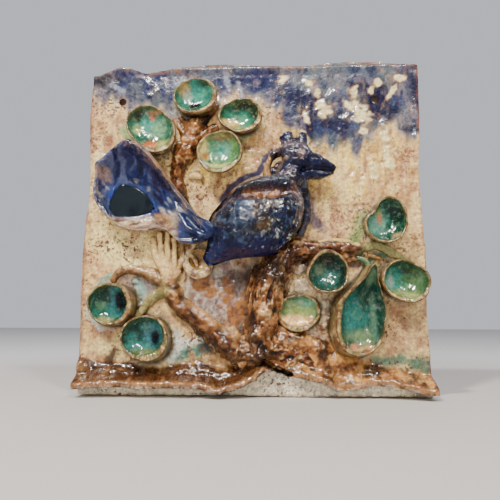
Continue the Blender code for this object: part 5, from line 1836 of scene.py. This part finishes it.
def coat_tail(tail, beyond):
    """Marbled blues that run down to the glass, a cream band below and streaks along the neck."""
    x, rise, z = points_of(tail)
    cloud, spot, trail = masks_on(x, rise, z)

    lean = 0.75 * x + 0.65 * z
    streaks = clay_noise(lean, 0 * x, (z - x) * 0.22, 4.5, 440, 3)
    coat = np.tile(SKY_GREY * 0.55 + COBALT * 0.35 + NAVY * 0.1, (len(x), 1))
    coat = paint(coat, (0.7 * cloud(9, 420, 0.0, 0.5), COBALT))
    # Deep navy over the upper inside wall: the glaze's dark blue, partly painted shade under the overhanging
    # lip.
    upper = smooth_step(24, 42, z) * smooth_step(-80, -98, x + 0.3 * (z - 40))
    coat = paint(coat, (0.95 * upper, NAVY * 0.7 + COBALT * 0.45))
    marbled = clay_noise(x + 5 * clay_noise(x, rise, z, 13, 421, 2), 0 * x, z * 0.35, 6.5, 422, 2)
    coat = paint(
        coat,
        (0.75 * upper * smooth_step(0.0, 0.45, marbled), SKY_GREY * 0.8 + SKY_BLUE * 0.08 + LILAC * 0.12),
        (0.8 * upper * smooth_step(-0.05, -0.45, marbled), NAVY * 0.5 + SOOT_AND_SHADE * 0.4),
        (0.5 * upper * cloud(7, 441, 0.1, 0.5, 0.5), COBALT * 0.9 + SKY_GREY * 0.1),
    )
    right = smooth_step(-96, -84, x) * smooth_step(-4, 8, z)
    coat = paint(
        coat,
        (0.8 * right * smooth_step(0.05, 0.45, streaks), SKY_BLUE * 0.35 + SKY_GREY * 0.3 + MILK * 0.2),
        (0.8 * right * smooth_step(0.0, -0.4, streaks), COBALT * 0.6 + NAVY * 0.4),
        (0.75 * right * smooth_step(0.25, 0.55, streaks), SAND * 0.6 + MILK * 0.3),
        (0.7 * right * smooth_step(-0.2, -0.55, streaks), SHADOW_BLUE * 0.5 + BARK * 0.5),
    )
    band = smooth_step(8, -2, z) * smooth_step(-60, -74, x)
    coat = paint(coat, (0.9 * band, CREAM * 0.4 + SAND * 0.35 + PINK_BUFF * 0.2))
    swept = clay_noise((x + z) * 0.3, 0 * x, z - 0.35 * x, 3.6, 443, 3)
    coat = paint(
        coat,
        (0.7 * band * cloud(8, 442, -0.1, 0.5, 1.8), SKY_GREY * 0.5 + LILAC * 0.4),
        (0.85 * band * smooth_step(0.05, 0.5, swept), RUST * 0.4 + BARK * 0.35 + SKY_GREY * 0.2),
        (0.5 * band * smooth_step(-0.1, -0.5, swept), MILK * 0.6 + CREAM * 0.4),
        # Darker brown-grey along the band's lower edge, partly painted shade.
        (0.6 * band * smooth_step(-3, -10, z + 0.25 * (x + 100)), BARK * 0.4 + SAND * 0.3 + SKY_GREY * 0.2),
        (0.8 * spot((-132, 42), (5, 7), 20, 0.6, 0.6, 4, 427), SAND * 0.5 + SKY_GREY * 0.5),
    )
    left = spot((-132, 18), (8, 18), 6, 0.5, 0.4, 5, 428)
    coat = paint(
        coat,
        (0.8 * left, SKY_GREY * 0.6 + LILAC * 0.2 + SKY_BLUE * 0.2),
        (0.8 * left * cloud(3.2, 444, 0.1, 0.5), MILK * 0.5 + PINK_BUFF * 0.3),
        (0.8 * left * cloud(3.6, 450, 0.15, 0.5), COBALT * 0.6 + BARK * 0.3),
    )
    neck = smooth_step(-66, -50, x)
    coat = paint(
        coat,
        (0.7 * neck, COBALT * 0.6 + SKY_GREY * 0.2 + NAVY * 0.2),
        (0.8 * neck * smooth_step(0.1, 0.5, streaks), SKY_BLUE * 0.3 + SKY_GREY * 0.5),
        (0.8 * neck * smooth_step(-0.1, -0.5, streaks), SHADOW_BLUE),
    )
    ridge = trail(((-104, 66), (-90, 57), (-79, 44), (-68, 29), (-57, 14), (-45, -1)), 4.0, 0.5, 0.4, 4, 429)
    coat = paint(
        coat,
        (0.7 * ridge, SKY_GREY * 0.5 + NAVY * 0.5),
        (0.8 * ridge * cloud(5, 445, -0.3, 0.2), LILAC * 0.45 + SAND * 0.3 + BARK * 0.1),
    )
    for centre, reach, turn in (
        ((-80, 46), (6, 2.6), -50), ((-73, 37), (5, 2.2), -50), ((-78, 4), (8, 2.4), -20),
    ):
        coat = paint(coat, (0.8 * spot(centre, reach, turn, 0.5, 0.5, 4, 430), SAND * 0.7 + RUST * 0.3))
    wall_top = smooth_step(32.5, 34.5, rise) * (1 - neck)
    coat = paint(
        coat,
        (0.55 * wall_top * cloud(4, 449, -0.1, 0.4), LILAC * 0.4 + SAND * 0.4 + SKY_GREY * 0.2),
    )
    outer = smooth_step(0.2, -0.1, -normals_of(tail)[:, 1])
    coat = paint(
        coat,
        (0.75 * outer * smooth_step(28, 16, rise), PINK_BUFF * 0.4 + OLIVE * 0.4 + SKY_GREY * 0.2),
    )
    halo = bump_at(beyond, 1.2, 3.6) * (rise < 27) * (rise > 14) * (0.5 + 0.5 * cloud(7, 446, -0.3, 0.2))
    coat = paint(coat, (0.7 * halo, SKY_BLUE * 0.35 + COBALT * 0.6))
    bright = spot((-90, 14), (4, 8), 0, 0.6, 0.4, 4, 447) + spot((-124, 26), (4, 7), 0, 0.6, 0.4, 4, 448)
    coat = paint(
        coat,
        (0.6 * bright * (rise < 30), colour(46, 78, 170)),
        (smooth_step(0.8, 0.0, beyond) * (rise > 12), colour(8, 12, 24)),
    )
    store(tail, "coat", coat * (1 + 0.3 * upper * (beyond > 2))[:, None])
    store(tail, "clay", 0.15 + 0.6 * band)


# The stage

def point_camera():
    data = bpy.data.cameras.new("camera")
    data.sensor_width = 36.0
    data.lens = FOCAL_PIXELS * data.sensor_width / IMAGE_SIDE
    data.clip_start = 0.01
    camera = bpy.data.objects.new("camera", data)
    turn = (
        Matrix.Rotation(math.radians(CAMERA_YAW), 4, "Z")
        @ Matrix.Rotation(math.radians(CAMERA_PITCH), 4, "X")
        @ Matrix.Rotation(math.radians(CAMERA_ROLL), 4, "Y")
        @ Matrix.Rotation(math.pi / 2, 4, "X")
    )
    camera.matrix_world = Matrix.Translation(CAMERA_PLACE) @ turn
    bpy.context.scene.collection.objects.link(camera)
    bpy.context.scene.camera = camera


# Lamps: places and sizes in metres, power in watts. The low fill shows in no reflection
LAMPS = {
    "upper_left_lamp": dict(
        place=(-0.55, -0.85, 1.20), aim=(0, 0, 0.05), size=0.16, power=20, tint=(1.0, 0.94, 0.84),
    ),
    "upper_right_lamp": dict(
        place=(0.50, -0.90, 1.15), aim=(0, 0, 0.05), size=0.15, power=9, tint=(1.0, 0.95, 0.87),
    ),
    "middle_lamp": dict(
        place=(-0.12, -1.25, 1.10), aim=(0, 0, 0), size=0.24, power=14, tint=(1.0, 0.96, 0.89),
    ),
    "low_fill": dict(
        place=(-0.40, -1.30, 0.0), aim=(0, 0, -0.02), size=0.5, power=4.2, tint=(1.0, 0.93, 0.84),
        mirrored=False,
    ),
}


def shine(name, place, aim, size, power, tint, mirrored=True):
    data = bpy.data.lights.new(name, "AREA")
    data.shape = "DISK"
    data.size = size
    data.energy = power
    data.color = tint
    lamp = bpy.data.objects.new(name, data)
    lamp.location = place
    lamp.rotation_euler = (Vector(aim) - Vector(place)).to_track_quat("-Z", "Y").to_euler()
    lamp.visible_glossy = mirrored
    bpy.context.scene.collection.objects.link(lamp)


def light_studio():
    """A pale backdrop behind the plaque, a dimmer room in front of it and lamps high in front."""
    world = bpy.data.worlds.new("studio")
    world.use_nodes = True
    n = Nodes(world.node_tree)
    look = n.add("ShaderNodeTexCoord").outputs["Generated"]
    depth = n.add("ShaderNodeSeparateXYZ", {"Vector": look}).outputs["Y"]
    tint = n.mix(n.span(depth, -0.2, 0.5), rgba((0.26, 0.25, 0.24)), rgba((0.60, 0.61, 0.66)))
    seen_in_glaze = n.add("ShaderNodeLightPath").outputs["Is Glossy Ray"]
    dimmed = n.mix(seen_in_glaze, tint, rgba((0.13, 0.13, 0.14)))
    world.node_tree.links.new(dimmed, world.node_tree.nodes["Background"].inputs["Color"])
    bpy.context.scene.world = world
    for name, lamp in LAMPS.items():
        shine(name, **lamp)


def lay_floor():
    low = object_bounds()[0]
    bm = bmesh.new()
    bmesh.ops.create_grid(bm, x_segments=1, y_segments=1, size=3.0)
    floor = mesh_piece("floor", bm)
    floor.location.z = low[2] - 0.0002
    material, n, vector, finish = new_material("pale_floor")
    near = n.add("ShaderNodeVectorMath", {0: vector}, operation="LENGTH").outputs["Value"]
    tint = n.mix(n.span(near, 0.25, 0.7), rgba((0.66, 0.64, 0.63)), rgba((0.88, 0.88, 0.93)))
    seen_in_glaze = n.add("ShaderNodeLightPath").outputs["Is Glossy Ray"]
    finish({"Base Color": n.mix(seen_in_glaze, tint, rgba((0.10, 0.10, 0.11))), "Roughness": 0.75})
    floor.data.materials.append(material)


def settle(piece, material, node="plaque"):
    """Give a finished piece its glaze and its place in the frame."""
    piece.data.materials.clear()
    piece.data.materials.append(material)
    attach(piece, "root")
    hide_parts(node)


def main():
    point_camera()
    light_studio()
    lay_floor()
    GROUPS.update(specks=speckle_group(), mottle=mottle_group(), skin=skin_group())

    slab = make_slab()
    coat_slab(slab)
    settle(slab, glaze("slab_glaze"))

    tree, near, relief, lumps = make_tree()
    coat_tree(tree, near, relief, lumps)
    settle(tree, glaze("bark_glaze"))

    leaf_glaze = glaze("leaf_glaze")
    for number, name in enumerate(LEAVES):
        leaf = make_leaf(name, number)
        coat_leaf(leaf, name, number)
        settle(leaf, leaf_glaze)

    bird_glaze = glaze("bird_glaze")
    body = make_body()
    coat_body(body)
    settle(body, bird_glaze)
    head = make_head()
    coat_head(head)
    settle(head, bird_glaze)

    tail, beyond = make_tail()
    coat_tail(tail, beyond)
    settle(tail, glaze("tail_glaze"))
    settle(make_pool(), pool_glass(), "tail_glass")



main()
